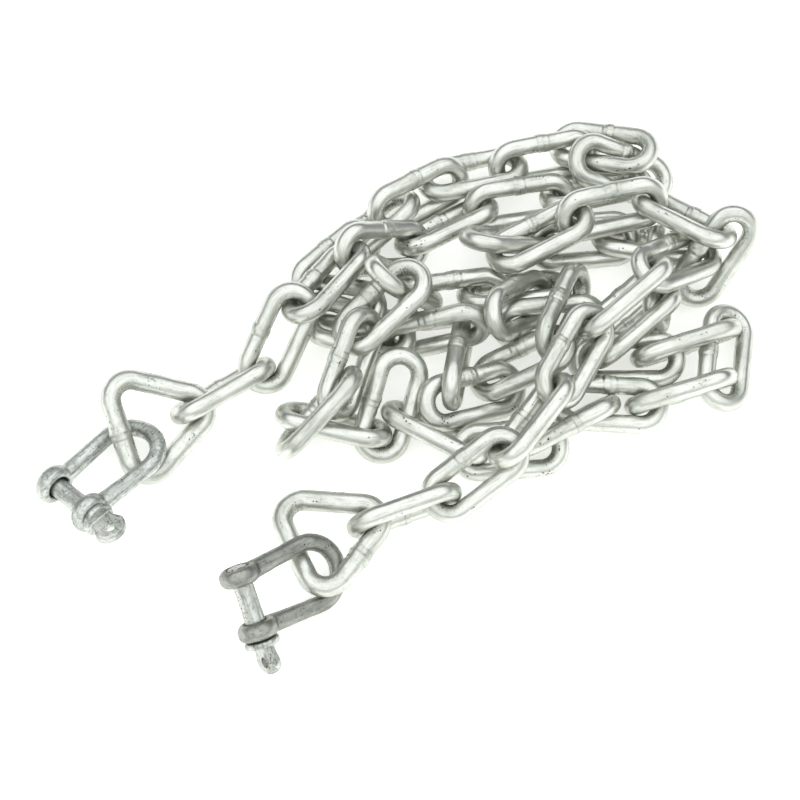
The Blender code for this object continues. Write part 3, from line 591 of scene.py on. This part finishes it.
def closed_bar_mesh(name, line, bar, sides, bend_squeeze, dice, weld_height, unevenness, bead=0.0):
    """Mesh of a closed bar with its butt weld at the first station, its uneven zinc and its lumps."""
    middles, outward, distance = line
    rings = len(middles)
    length = distance[-1] + np.linalg.norm(middles[0] - middles[-1])
    from_weld = np.where(distance > length / 2, distance - length, distance)
    angle = np.arange(sides) * 2 * math.pi / sides
    out = np.cos(angle)[None, :, None] * np.append(outward, np.zeros((rings, 1)), axis=1)[:, None, :]
    up = np.sin(angle)[None, :, None] * np.array([0.0, 0.0, 1.0])
    ways = out + up
    bent = bend_shares(outward)
    radius = bar / 2 * (1 - bend_squeeze * bent[:, None] * np.cos(2 * angle)[None, :])
    radius, across, collar = welded(radius, from_weld, angle, weld_height, bead, dice)

    # The two ends of the bar don't quite meet at the weld
    step = [dice.uniform(-MISFIT, MISFIT), dice.uniform(-MISFIT, MISFIT)]
    shear = np.tanh(from_weld / MISFIT_EDGE) * np.exp(-(np.abs(from_weld) / MISFIT_REACH) ** 2)
    shifted = np.append(middles + shear[:, None] * step[0] * outward, shear[:, None] * step[1], axis=1)
    places = shifted[:, None, :] + ways * radius[:, :, None]
    flat = places.reshape(-1, 3)
    rise = uneven_zinc(flat, unevenness, BAR_WAVES, dice)
    rise += lumps(flat, scattered_lumps(flat, BAR_LUMPS, dice) + weld_lumps(places, from_weld, dice))
    flat = flat + ways.reshape(-1, 3) * rise[:, None]

    mesh = bpy.data.meshes.new(name)
    mesh.from_pydata((flat * MM).tolist(), [], skin_faces(rings, sides, closed=True))
    mark_mesh(mesh, "weld_heat", np.repeat(np.exp(-(from_weld / WELD_HEAT_REACH) ** 2), sides))
    mark_mesh(mesh, "weld_seam", seam_marks(across, collar, angle, dice).ravel())
    drawn = np.stack([np.repeat(distance, sides), np.tile(np.cos(angle), rings) * bar / 2,
                      np.tile(np.sin(angle), rings) * bar / 2], axis=1)
    mark_mesh(mesh, "drawn_bar", drawn * MM)
    mark_mesh(mesh, "inner_bend", np.repeat(bent, sides) * np.tile(np.clip(-np.cos(angle), 0, 1), rings))
    mark_mesh(mesh, "batch", np.full(len(flat), dice.uniform(0, 1)))
    mesh.shade_smooth()
    return mesh


def mark_mesh(mesh, name, values):
    """Keeps a number or a place for each corner of a mesh, for its material to read."""
    values = np.asarray(values, np.float32)
    if values.ndim == 1:
        layer = mesh.attributes.new(name, "FLOAT", "POINT")
        layer.data.foreach_set("value", values)
    else:
        layer = mesh.attributes.new(name, "FLOAT_VECTOR", "POINT")
        layer.data.foreach_set("vector", values.ravel())


def add_piece(name, mesh, material, matrix, node):
    """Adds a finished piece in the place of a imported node. Like the node, it keeps its place in its mesh."""
    mesh.transform(matrix)
    mesh.materials.append(material)
    piece = bpy.data.objects.new(name, mesh)
    bpy.context.scene.collection.objects.link(piece)
    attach(piece, "root")
    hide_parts(node)
    return piece


def add_node(tree, kind, values=None, links=None, **settings):
    """Adds a shader node with its settings, the values of its sockets and the links into it."""
    node = tree.nodes.new("ShaderNode" + kind)
    for name, value in settings.items():
        setattr(node, name, value)
    for socket, value in (values or {}).items():
        node.inputs[socket].default_value = value
    for socket, output in (links or {}).items():
        tree.links.new(output, node.inputs[socket])
    return node


def new_material(name, colour, metallic, roughness):
    """A material with one principled shader, and its node tree."""
    material = bpy.data.materials.new(name)
    material.use_nodes = True
    tree = material.node_tree
    shader = tree.nodes["Principled BSDF"]
    shader.inputs["Base Color"].default_value = (*colour, 1.0)
    shader.inputs["Metallic"].default_value = metallic
    shader.inputs["Roughness"].default_value = roughness
    material.diffuse_color = (*colour, 1.0)
    return material, tree, shader


def per_metre(size_mm):
    """Scale of a texture whose features measure so many millimetres."""
    return 1.0 / (size_mm * MM)


def zinc_material(name, bright, dull, fleck, roughness, fleck_share, fleck_gap, stains, mottled, grain,
                  rust=None):
    """Hot-dip galvanised steel.

    The steel is drawn from a bath of molten zinc. That leaves a bright skin that is a little wavy, with
    soft patches of duller alloy, small dark flecks of dross, and a greyer tone where the weld was made.
    """
    material, tree, shader = new_material(name, bright, 1.0, roughness)
    shader.inputs["Specular Tint"].default_value = (*EDGE_TINT, 1.0)
    bar_place = add_node(tree, "Attribute", attribute_name="drawn_bar").outputs["Vector"]
    batch = add_node(tree, "Attribute", attribute_name="batch").outputs["Fac"]
    shifted = add_node(tree, "Mapping", links={"Vector": bar_place, "Location": batch}).outputs["Vector"]
    drawn = add_node(tree, "Mapping", values={"Scale": STREAK_STRETCH},
                     links={"Vector": shifted}).outputs["Vector"]
    stretched = add_node(tree, "Mapping", values={"Scale": PATCH_STRETCH},
                         links={"Vector": shifted}).outputs["Vector"]

    # Soft patches of duller zinc, thin streaks along the bar, and a fine mottle
    patches = add_node(tree, "TexNoise",
                       values={"Scale": per_metre(PATCH_SIZE), "Detail": 3.0, "Roughness": 0.6},
                       links={"Vector": stretched}).outputs["Fac"]
    streaks = add_node(tree, "TexNoise",
                       values={"Scale": per_metre(STREAK_SIZE), "Detail": 3.0, "Roughness": 0.6},
                       links={"Vector": drawn}).outputs["Fac"]
    mottle = add_node(tree, "TexNoise",
                      values={"Scale": per_metre(MOTTLE_SIZE), "Detail": 3.0, "Roughness": 0.7},
                      links={"Vector": shifted}).outputs["Fac"]
    patch_share = add_node(tree, "MapRange", values={"From Min": 0.44, "From Max": 0.66, "To Max": stains},
                           links={"Value": patches}).outputs["Result"]
    streak_share = add_node(tree, "MapRange", values={"From Min": 0.50, "From Max": 0.70, "To Max": 0.55},
                            links={"Value": streaks}).outputs["Result"]
    mottle_share = add_node(tree, "MapRange", values={"From Min": 0.52, "From Max": 0.72, "To Max": mottled},
                            links={"Value": mottle}).outputs["Result"]
    heat = add_node(tree, "Attribute", attribute_name="weld_heat").outputs["Fac"]
    inside = add_node(tree, "Attribute", attribute_name="inner_bend").outputs["Fac"]
    worn = add_node(tree, "Math", values={1: BEND_GREY}, links={0: inside}, operation="MULTIPLY").outputs[0]
    warmed = add_node(tree, "Math", values={1: WELD_GREY}, links={0: heat}, operation="MULTIPLY").outputs[0]
    grey = patch_share
    for more in (streak_share, mottle_share, worn, warmed):
        grey = add_node(tree, "Math", links={0: grey, 1: more}, operation="ADD", use_clamp=True).outputs[0]
    colour = add_node(tree, "Mix", values={6: (*bright, 1.0), 7: (*dull, 1.0)}, links={0: grey},
                      data_type="RGBA").outputs[2]

    # Flecks of dross and pits, 0.6 to 0.9 mm across, gathered in bands along the bar and inside the bends
    spots = add_node(tree, "TexVoronoi", values={"Scale": per_metre(fleck_gap), "Randomness": 1.0},
                     links={"Vector": shifted}).outputs["Distance"]
    bands = add_node(tree, "TexNoise",
                     values={"Scale": per_metre(BAND_SIZE), "Detail": 4.0, "Roughness": 0.75},
                     links={"Vector": stretched}).outputs["Fac"]
    near = add_node(tree, "MapRange", values={"From Min": 0.42, "From Max": 0.20},
                    links={"Value": spots}).outputs["Result"]
    gathered = add_node(tree, "MapRange",
                        values={"From Min": 0.70 - fleck_share, "From Max": 0.76 - fleck_share},
                        links={"Value": bands}).outputs["Result"]
    rubbed = add_node(tree, "Math", values={1: BEND_FLECKS}, links={0: inside, 2: gathered},
                      operation="MULTIPLY_ADD", use_clamp=True).outputs[0]
    flecks = add_node(tree, "Math", links={0: near, 1: rubbed}, operation="MULTIPLY").outputs[0]

    # The weld's dark seam, painted shade round a pin's hole, and a rusty pin's specks
    seam = add_node(tree, "Attribute", attribute_name="weld_seam").outputs["Fac"]
    pit_grime_and_hole_shade = add_node(tree, "Attribute", attribute_name="pit_grime_and_hole_shade").outputs["Fac"]
    dark = flecks
    for share, more in ((SEAM_DARK, seam), (HOLE_SHADE_DARK, pit_grime_and_hole_shade)):
        dark = add_node(tree, "Math", values={1: share}, links={0: more, 2: dark}, operation="MULTIPLY_ADD",
                        use_clamp=True).outputs[0]
    colour = add_node(tree, "Mix", values={7: (*fleck, 1.0)}, links={0: dark, 6: colour},
                      data_type="RGBA").outputs[2]
    if rust:
        rusty = add_node(tree, "Attribute", attribute_name="rusty").outputs["Fac"]
        specks = add_node(tree, "MapRange", values={"From Min": 0.52, "From Max": 0.62},
                          links={"Value": mottle}).outputs["Result"]
        amount = add_node(tree, "Math", links={0: rusty, 1: specks}, operation="MULTIPLY").outputs[0]
        colour = add_node(tree, "Mix", values={7: (*rust, 1.0)}, links={0: amount, 6: colour},
                          data_type="RGBA").outputs[2]
    tree.links.new(colour, shader.inputs["Base Color"])

    # Duller zinc scatters more light, and flecks hardly shine
    soft = add_node(tree, "MapRange", values={"To Min": roughness, "To Max": roughness + DULL_ROUGHER},
                    links={"Value": grey}).outputs["Result"]
    soft = add_node(tree, "Math", values={1: FLECK_ROUGHER}, links={0: flecks, 2: soft},
                    operation="MULTIPLY_ADD").outputs[0]
    tree.links.new(soft, shader.inputs["Roughness"])

    # Swells in the zinc, the fine lines along the bar, the mottle's grain, and the pits at the flecks
    swell = add_node(tree, "TexNoise", values={"Scale": per_metre(SWELL_SIZE), "Detail": 2.0},
                     links={"Vector": shifted}).outputs["Fac"]
    bump = add_node(tree, "Bump", values={"Strength": 0.5, "Distance": SWELL_DEPTH * MM},
                    links={"Height": swell}).outputs["Normal"]
    bump = add_node(tree, "Bump", values={"Strength": 0.35, "Distance": STREAK_DEPTH * MM},
                    links={"Height": streaks, "Normal": bump}).outputs["Normal"]
    bump = add_node(tree, "Bump", values={"Strength": 0.4, "Distance": grain * MM},
                    links={"Height": mottle, "Normal": bump}).outputs["Normal"]
    bump = add_node(tree, "Bump", values={"Strength": 0.6, "Distance": PIT_DEPTH * MM},
                    links={"Height": flecks, "Normal": bump}, invert=True).outputs["Normal"]
    tree.links.new(bump, shader.inputs["Normal"])
    return material


def chain_zinc(settings):
    """Hot-dip galvanised steel of the welded links."""
    return zinc_material("hot_dip_galvanised_steel_bright", settings.zinc, settings.dull_zinc,
                         settings.dross, roughness=0.29, fleck_share=0.11, fleck_gap=1.4, stains=0.5,
                         mottled=0.25, grain=0.02)


def delta_zinc(settings):
    """Hot-dip galvanised steel of the delta links, whose thicker zinc is a little duller and more mottled."""
    return zinc_material("hot_dip_galvanised_steel_thick", settings.zinc, settings.dull_zinc,
                         settings.dross, roughness=0.31, fleck_share=0.13, fleck_gap=1.2, stains=0.6,
                         mottled=0.45, grain=0.04)


def forged_zinc(name, colour, settings, rust=False):
    """Hot-dip galvanised steel of the forged shackles, spun dry and therefore duller and more mottled."""
    return zinc_material(name, colour, settings.stain, settings.pit_grime_and_hole_shade, roughness=0.36, fleck_share=0.14,
                         fleck_gap=1.0, stains=0.6, mottled=0.6, grain=0.08,
                         rust=settings.rust if rust else None)


def build_links(settings):
    """All the links of the chain, each in the place of its node."""
    line = link_line()
    zinc = chain_zinc(settings)
    for node in sorted(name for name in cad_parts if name.startswith("link_")):
        dice = random.Random(int(node.split("_")[1]))
        mesh = closed_bar_mesh("steel_" + node, line, LINK_BAR, LINK_SIDES, LINK_SQUEEZE, dice,
                               settings.weld_height / MM, settings.unevenness / MM)
        add_piece("steel_" + node, mesh, zinc, pose_matrix(*link_pose(node)), node)


def build_deltas(settings):
    """The delta link at each end of the chain."""
    line = delta_line()
    zinc = delta_zinc(settings)
    for number, (word, end) in enumerate(ENDS.items()):
        node = "delta_link_" + word
        dice = random.Random(DELTA_SEED + number)
        mesh = closed_bar_mesh("steel_" + node, line, DELTA_BAR, DELTA_SIDES, DELTA_SQUEEZE, dice,
                               settings.weld_height / MM, settings.unevenness / MM * DELTA_ROUGHER,
                               bead=DELTA_BEAD)
        matrix = pose_matrix(*delta_pose(node, end["weld_faces"]))
        add_piece("steel_" + node, mesh, zinc, matrix, node)


def turned_rings(profile, sides):
    """Rings of a piece turned about X. The profile is a list of (x, radius)."""
    rings = []
    for x, radius in profile:
        ring = []
        for side in range(sides):
            turn = 2 * math.pi * side / sides
            ring.append((x, radius * math.cos(turn), radius * math.sin(turn)))
        rings.append(ring)
    return rings


def solid_from_rings(name, rings):
    """Mesh of a skin over rings of points, in millimetres, with its two ends capped."""
    sides = len(rings[0])
    count = len(rings)
    places = [tuple(value * MM for value in place) for ring in rings for place in ring]
    faces = skin_faces(count, sides, closed=False)
    faces.append(tuple(reversed(range(sides))))
    faces.append(tuple((count - 1) * sides + side for side in range(sides)))
    mesh = bpy.data.meshes.new(name)
    mesh.from_pydata(places, [], faces)
    return mesh


def rounded_disc(start, end, outer, edge, steps=5):
    """Profile of a disc with rounded rims, from the flat face at its start to the one at its end."""
    profile = []
    for step in range(steps + 1):
        turn = math.pi / 2 * step / steps
        profile.append((start + edge * (1 - math.cos(turn)), outer - edge + edge * math.sin(turn)))
    mirrored = [(start + end - x, radius) for x, radius in reversed(profile)]
    first = [(start, outer - edge)]
    return first + profile[1:] + mirrored[:-1] + [(end, outer - edge)]


def flared_hole():
    """Profile of the drill through both eyes, a little wider at each face of an eye."""
    near, far = EYE_SPACING / 2 - EYE_THICKNESS / 2, EYE_SPACING / 2 + EYE_THICKNESS / 2
    narrow, wide = PIN_HOLE / 2, PIN_HOLE / 2 + HOLE_FLARE
    half = [(near - DRILL_OVERRUN, wide), (near, wide), (near + HOLE_FLARE, narrow),
            (far - HOLE_FLARE, narrow), (far, wide), (far + DRILL_OVERRUN, wide)]
    return [(-x, radius) for x, radius in reversed(half)] + half


def bow_line():
    """Places along the bow's bar, from inside one eye to inside the other: a leg, an arc and a leg."""
    foot = EYE_DIAMETER / 2 - BAR_IN_EYE
    shoulder = BOW_LENGTH - BOW_ROUND
    left_foot, left_top = np.array([-EYE_SPACING / 2, foot]), np.array([-BOW_ROUND, shoulder])
    points = []
    for step in range(LEG_STEPS):
        points.append(left_foot + (left_top - left_foot) * step / LEG_STEPS)
    for step in range(ARC_STEPS + 1):
        turn = math.pi - math.pi * step / ARC_STEPS
        points.append(np.array([BOW_ROUND * math.cos(turn), shoulder + BOW_ROUND * math.sin(turn)]))
    for step in range(1, LEG_STEPS + 1):
        points.append(np.array([BOW_ROUND, shoulder]) * (1 - step / LEG_STEPS)
                      + np.array([EYE_SPACING / 2, foot]) * (step / LEG_STEPS))
    return np.array(points)


def bow_rings():
    """Rings along the bow's bar, which is thicker near its eyes."""
    points = bow_line()
    along = np.gradient(points, axis=0)
    along /= np.linalg.norm(along, axis=1)[:, None]
    rings = []
    for k, middle in enumerate(points):
        outward = np.array([-along[k][1], along[k][0]])
        share = min(k, len(points) - 1 - k) / FOOT_STEPS
        radius = BOW_BAR / 2 * (1.0 + FOOT_THICKER * math.exp(-(share * FOOT_FALL) ** 2))
        ring = []
        for side in range(BOW_SIDES):
            turn = 2 * math.pi * side / BOW_SIDES
            across = middle + outward * radius * math.cos(turn)
            ring.append((across[0], across[1], radius * math.sin(turn)))
        rings.append(ring)
    return rings


def tab_outline():
    """Outline of the pin's flat tab: a neck, a shoulder on each side and a round end."""
    start = COLLAR_START + COLLAR_THICKNESS - SUNK
    length = TAB_LENGTH + SUNK
    neck, width = TAB_NECK / 2, TAB_WIDTH / 2
    round_x = length * TAB_ROUND
    lower = [(start, -neck), (start + TAB_NECK_LENGTH, -neck)]
    for step in range(1, TAB_SHOULDER_STEPS):
        share = step / TAB_SHOULDER_STEPS
        lower.append((start + TAB_NECK_LENGTH + (length - round_x - TAB_NECK_LENGTH) * share,
                      -neck - (width - neck) * (3 * share ** 2 - 2 * share ** 3)))
    for step in range(TAB_END_STEPS + 1):
        turn = -math.pi / 2 + math.pi / 2 * step / TAB_END_STEPS
        lower.append((start + length - round_x + round_x * math.cos(turn), width * math.sin(turn)))
    return lower + [(x, -y) for x, y in reversed(lower[:-1])]


def tab_rings():
    """Rings through the pin's flat tab: its outline at each height, with rounded edges."""
    outline = tab_outline()
    middle = np.mean(outline, axis=0)
    flat_half = TAB_THICKNESS / 2 - TAB_EDGE
    rings = []
    for step in range(TAB_EDGE_STEPS + 1):
        turn = -math.pi / 2 + math.pi * step / TAB_EDGE_STEPS
        height = flat_half * np.sign(turn) + TAB_EDGE * math.sin(turn)
        inset = TAB_EDGE * (1 - math.cos(turn))
        ring = []
        for x, y in outline:
            away = np.array([x, y]) - middle
            place = np.array([x, y]) - away / np.linalg.norm(away) * inset
            ring.append((place[0], place[1], height))
        rings.append(ring)
    return rings


def tab_hole_rings():
    """Rings of the drill that cuts the hole through the tab."""
    middle = COLLAR_START + COLLAR_THICKNESS + TAB_LENGTH * TAB_HOLE_PLACE
    radius = TAB_HOLE / 2
    turns = [2 * math.pi * side / TAB_HOLE_SIDES for side in range(TAB_HOLE_SIDES)]
    return [[(middle + radius * math.cos(turn), radius * math.sin(turn), height) for turn in turns]
            for height in (-TAB_THICKNESS, TAB_THICKNESS)]


def forged_skin(name, solids, cutters, voxel, smoothing):
    """Mesh of solids forged into one skin with soft joints, with holes cut where the cutters are."""
    made = []
    for number, mesh in enumerate(solids + cutters):
        thing = bpy.data.objects.new(f"{name}_{number}", mesh)
        bpy.context.scene.collection.objects.link(thing)
        made.append(thing)
    body = made[0]
    for other in made[1:len(solids)]:
        union = body.modifiers.new("joined", "BOOLEAN")
        union.operation = "UNION"
        union.object = other
    remesh = body.modifiers.new("forged", "REMESH")
    remesh.mode = "VOXEL"
    remesh.voxel_size = voxel
    soften = body.modifiers.new("softened", "SMOOTH")
    soften.factor = SMOOTHING_FACTOR
    soften.iterations = smoothing
    for cutter in made[len(solids):]:
        cut = body.modifiers.new("drilled", "BOOLEAN")
        cut.operation = "DIFFERENCE"
        cut.object = cutter
    view = bpy.context.view_layer
    view.update()
    mesh = bpy.data.meshes.new_from_object(body.evaluated_get(view.depsgraph))
    mesh.name = name
    for thing in made:
        bpy.data.objects.remove(thing)
    return mesh


def forged(name, solids, cutters, voxel, smoothing, dice, unevenness):
    """A forged piece with uneven zinc, and with the marks of its batch and of rust at the pin's tip.

    Gives its mesh, with the places of its corners and their distances from its X axis, in millimetres.
    """
    mesh = forged_skin(name, solids, cutters, voxel, smoothing)
    places = np.array([vertex.co[:] for vertex in mesh.vertices]) / MM
    normals = np.array([vertex.normal[:] for vertex in mesh.vertices])
    rise = uneven_zinc(places, unevenness, FORGED_WAVES, dice)
    rise += lumps(places, scattered_lumps(places, FORGED_LUMPS, dice))
    places = places + normals * rise[:, None]
    mesh.vertices.foreach_set("co", (places * MM).astype(np.float32).ravel())
    mark_mesh(mesh, "batch", np.full(len(places), dice.uniform(0, 1)))
    from_axis = np.hypot(places[:, 1], places[:, 2])
    from_tip = places[:, 0] - PIN_TIP
    mark_mesh(mesh, "rusty", np.exp(-(from_tip / RUST_REACH) ** 2 - (from_axis / RUST_RADIUS) ** 6))
    mesh.shade_smooth()
    mesh.set_sharp_from_angle(angle=math.radians(SHARP_CORNER))
    return mesh, places, from_axis


def build_bows(settings):
    """The bow of each shackle: a bent bar forged into an eye at each end."""
    zinc = {"left": forged_zinc("hot_dip_galvanised_forging", settings.forging, settings),
            "front": forged_zinc("hot_dip_galvanised_forging_stained", settings.worn_forging, settings,
                                 rust=True)}
    half = EYE_THICKNESS / 2
    for number, word in enumerate(ENDS):
        node = "shackle_bow_" + word
        eyes = []
        for side in (-1, 1):
            middle = side * EYE_SPACING / 2
            profile = rounded_disc(middle - half, middle + half, EYE_DIAMETER / 2, EYE_EDGE)
            eyes.append(solid_from_rings("eye", turned_rings(profile, EYE_SIDES)))
        hole = solid_from_rings("hole", turned_rings(flared_hole(), HOLE_SIDES))
        bar = solid_from_rings("bar", bow_rings())
        mesh, places, from_axis = forged("steel_" + node, [bar] + eyes, [hole], settings.voxel,
                                         BOW_SMOOTHING, random.Random(BOW_SEED + number), BOW_UNEVENNESS)
        mark_mesh(mesh, "drawn_bar", places[:, [1, 0, 2]] * MM)
        # Painted shade: a dark ring at the rim and bore of the pin's hole, where the pin meets the eye
        mark_mesh(mesh, "pit_grime_and_hole_shade", np.exp(-((from_axis - PIN_HOLE / 2) / HOLE_SHADE_REACH) ** 2))
        matrix = pose_matrix(*shackle_pose(node, "shackle_pin_" + word))
        add_piece("steel_" + node, mesh, zinc[word], matrix, node)


def build_pins(settings):
    """The screw pin of each shackle: a shaft with its collar and its flat tab."""
    zinc = {"left": forged_zinc("hot_dip_galvanised_pin", settings.pin, settings),
            "front": forged_zinc("hot_dip_galvanised_pin_rusty", settings.pin, settings, rust=True)}
    for number, (word, end) in enumerate(ENDS.items()):
        node = "shackle_pin_" + word
        shaft = rounded_disc(PIN_TIP, COLLAR_START + SUNK, PIN_DIAMETER / 2, SHAFT_EDGE)
        collar = rounded_disc(COLLAR_START, COLLAR_START + COLLAR_THICKNESS, COLLAR_DIAMETER / 2, COLLAR_EDGE)
        solids = [solid_from_rings("shaft", turned_rings(shaft, SHAFT_SIDES)),
                  solid_from_rings("collar", turned_rings(collar, COLLAR_SIDES)),
                  solid_from_rings("tab", tab_rings())]
        hole = solid_from_rings("hole", tab_hole_rings())
        mesh, places, _ = forged("steel_" + node, solids, [hole], settings.voxel * PIN_VOXEL_SHARE,
                                 PIN_SMOOTHING, random.Random(PIN_SEED + number), PIN_UNEVENNESS)
        mark_mesh(mesh, "drawn_bar", places * MM)
        pose = shackle_pose("shackle_bow_" + word, node)
        matrix = pose_matrix(*pose, turn=end["pin_turn"])
        add_piece("steel_" + node, mesh, zinc[word], matrix, node)


def build_floor(settings):
    """A wide pale floor that light comes up through, as on a light table."""
    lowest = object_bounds()[0][2]
    half = FLOOR_HALF_WIDTH * MM
    corners = [(-half, -half, lowest), (half, -half, lowest), (half, half, lowest), (-half, half, lowest)]
    mesh = bpy.data.meshes.new("studio_floor")
    mesh.from_pydata(corners, [], [(0, 1, 2, 3)])
    floor = bpy.data.objects.new("studio_floor", mesh)
    bpy.context.scene.collection.objects.link(floor)
    material, _, shader = new_material("opal_acrylic_sheet", settings.floor, metallic=0.0, roughness=0.6)
    shader.inputs["Emission Color"].default_value = (*settings.floor, 1.0)
    shader.inputs["Emission Strength"].default_value = settings.floor_glow
    shader.inputs["Specular IOR Level"].default_value = 0.2
    mesh.materials.append(material)
    floor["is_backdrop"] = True


def build_room(settings):
    """The room's own light: a pale dome overhead, and darker walls below it, the darkest behind the heap."""
    world = bpy.data.worlds.new("studio_room")
    world.use_nodes = True
    tree = world.node_tree
    background = tree.nodes["Background"]
    way = add_node(tree, "TexCoord").outputs["Generated"]
    parts = add_node(tree, "SeparateXYZ", links={0: way})
    behind = add_node(tree, "MapRange", values={"From Min": WALL_TURN[0], "From Max": WALL_TURN[1]},
                      links={"Value": parts.outputs["Y"]}, interpolation_type="SMOOTHSTEP").outputs["Result"]
    walls = add_node(tree, "Mix", values={6: (*settings.front_wall, 1.0), 7: (*settings.back_wall, 1.0)},
                     links={0: behind}, data_type="RGBA").outputs[2]
    above_sweep = add_node(tree, "MapRange",
                           values={"From Min": WALL_BEGINS[0], "From Max": WALL_BEGINS[1]},
                           links={"Value": parts.outputs["Z"]},
                           interpolation_type="SMOOTHSTEP").outputs["Result"]
    below_dome = add_node(tree, "MapRange", values={"From Min": WALL_ENDS[1], "From Max": WALL_ENDS[0]},
                          links={"Value": parts.outputs["Z"]},
                          interpolation_type="SMOOTHSTEP").outputs["Result"]
    band = add_node(tree, "Math", links={0: above_sweep, 1: below_dome}, operation="MULTIPLY").outputs[0]
    colour = add_node(tree, "Mix", values={6: (*settings.dome, 1.0)}, links={0: band, 7: walls},
                      data_type="RGBA").outputs[2]
    tree.links.new(colour, background.inputs["Color"])
    background.inputs["Strength"].default_value = settings.dome_strength
    bpy.context.scene.world = world


def build_camera():
    """The camera at the photograph's angle."""
    scene = bpy.context.scene
    camera = bpy.data.cameras.new("photo_camera")
    camera.sensor_width = CAMERA_SENSOR
    camera.lens = FOCAL_PIXELS / FRAME_PIXELS * CAMERA_SENSOR
    camera.clip_end = CAMERA_REACH * MM
    thing = bpy.data.objects.new("photo_camera", camera)
    rise = math.radians(CAMERA_ELEVATION)
    back = Vector((0.0, -math.cos(rise), math.sin(rise)))
    thing.location = (Vector(CAMERA_AIM) + back * CAMERA_DISTANCE) * MM
    thing.rotation_euler = (math.pi / 2 - rise, 0.0, 0.0)
    scene.collection.objects.link(thing)
    scene.camera = thing
    scene.view_settings.view_transform = "Standard"


class CHAINHEAP_OT_links(bpy.types.Operator):
    """Makes the links of the chain"""
    bl_idname = "chain_heap.links"
    bl_label = "Make the links"

    def execute(self, context):
        build_links(context.scene.chain_heap_chain)
        return {"FINISHED"}


class CHAINHEAP_OT_delta_links(bpy.types.Operator):
    """Makes the delta link at each end of the chain"""
    bl_idname = "chain_heap.delta_links"
    bl_label = "Make the delta links"

    def execute(self, context):
        build_deltas(context.scene.chain_heap_chain)
        return {"FINISHED"}


class CHAINHEAP_OT_bows(bpy.types.Operator):
    """Makes the bows of the two shackles"""
    bl_idname = "chain_heap.bows"
    bl_label = "Make the shackle bows"

    def execute(self, context):
        build_bows(context.scene.chain_heap_shackles)
        return {"FINISHED"}


class CHAINHEAP_OT_pins(bpy.types.Operator):
    """Makes the screw pins of the two shackles"""
    bl_idname = "chain_heap.pins"
    bl_label = "Make the screw pins"

    def execute(self, context):
        build_pins(context.scene.chain_heap_shackles)
        return {"FINISHED"}


class CHAINHEAP_OT_stage(bpy.types.Operator):
    """Sets up the floor, the room and the camera"""
    bl_idname = "chain_heap.stage"
    bl_label = "Set up the studio"

    def execute(self, context):
        settings = context.scene.chain_heap_studio
        build_floor(settings)
        build_room(settings)
        build_camera()
        return {"FINISHED"}


class CHAINHEAP_PT_sidebar(bpy.types.Panel):
    """Lists the settings and the steps of the chain heap"""
    bl_idname = "CHAINHEAP_PT_sidebar"
    bl_label = "Chain Heap"
    bl_space_type = "VIEW_3D"
    bl_region_type = "UI"
    bl_category = "Chain Heap"

    def draw(self, context):
        layout = self.layout
        for operators, settings in PANEL_ROWS:
            group = getattr(context.scene, settings)
            for name in group.__annotations__:
                layout.prop(group, name)
            for operator in operators:
                layout.operator(operator)


SETTINGS = {
    "chain_heap_chain": ChainSettings,
    "chain_heap_shackles": ShackleSettings,
    "chain_heap_studio": StudioSettings,
}
OPERATORS = (CHAINHEAP_OT_links, CHAINHEAP_OT_delta_links, CHAINHEAP_OT_bows, CHAINHEAP_OT_pins,
             CHAINHEAP_OT_stage)
PANEL_ROWS = (
    (("chain_heap.links", "chain_heap.delta_links"), "chain_heap_chain"),
    (("chain_heap.bows", "chain_heap.pins"), "chain_heap_shackles"),
    (("chain_heap.stage",), "chain_heap_studio"),
)


def register():
    """Makes the settings, the operators and the panel known to Blender."""
    for cls in (*SETTINGS.values(), *OPERATORS, CHAINHEAP_PT_sidebar):
        bpy.utils.register_class(cls)
    for name, cls in SETTINGS.items():
        setattr(bpy.types.Scene, name, bpy.props.PointerProperty(type=cls))


def unregister():
    """Takes the settings, the operators and the panel out again."""
    for name in SETTINGS:
        delattr(bpy.types.Scene, name)
    for cls in (CHAINHEAP_PT_sidebar, *reversed(OPERATORS), *SETTINGS.values()):
        bpy.utils.unregister_class(cls)


def main():
    """Makes the whole heap and its studio."""
    register()
    bpy.ops.chain_heap.links()
    bpy.ops.chain_heap.delta_links()
    bpy.ops.chain_heap.bows()
    bpy.ops.chain_heap.pins()
    bpy.ops.chain_heap.stage()


if __name__ == "__main__":
    main()
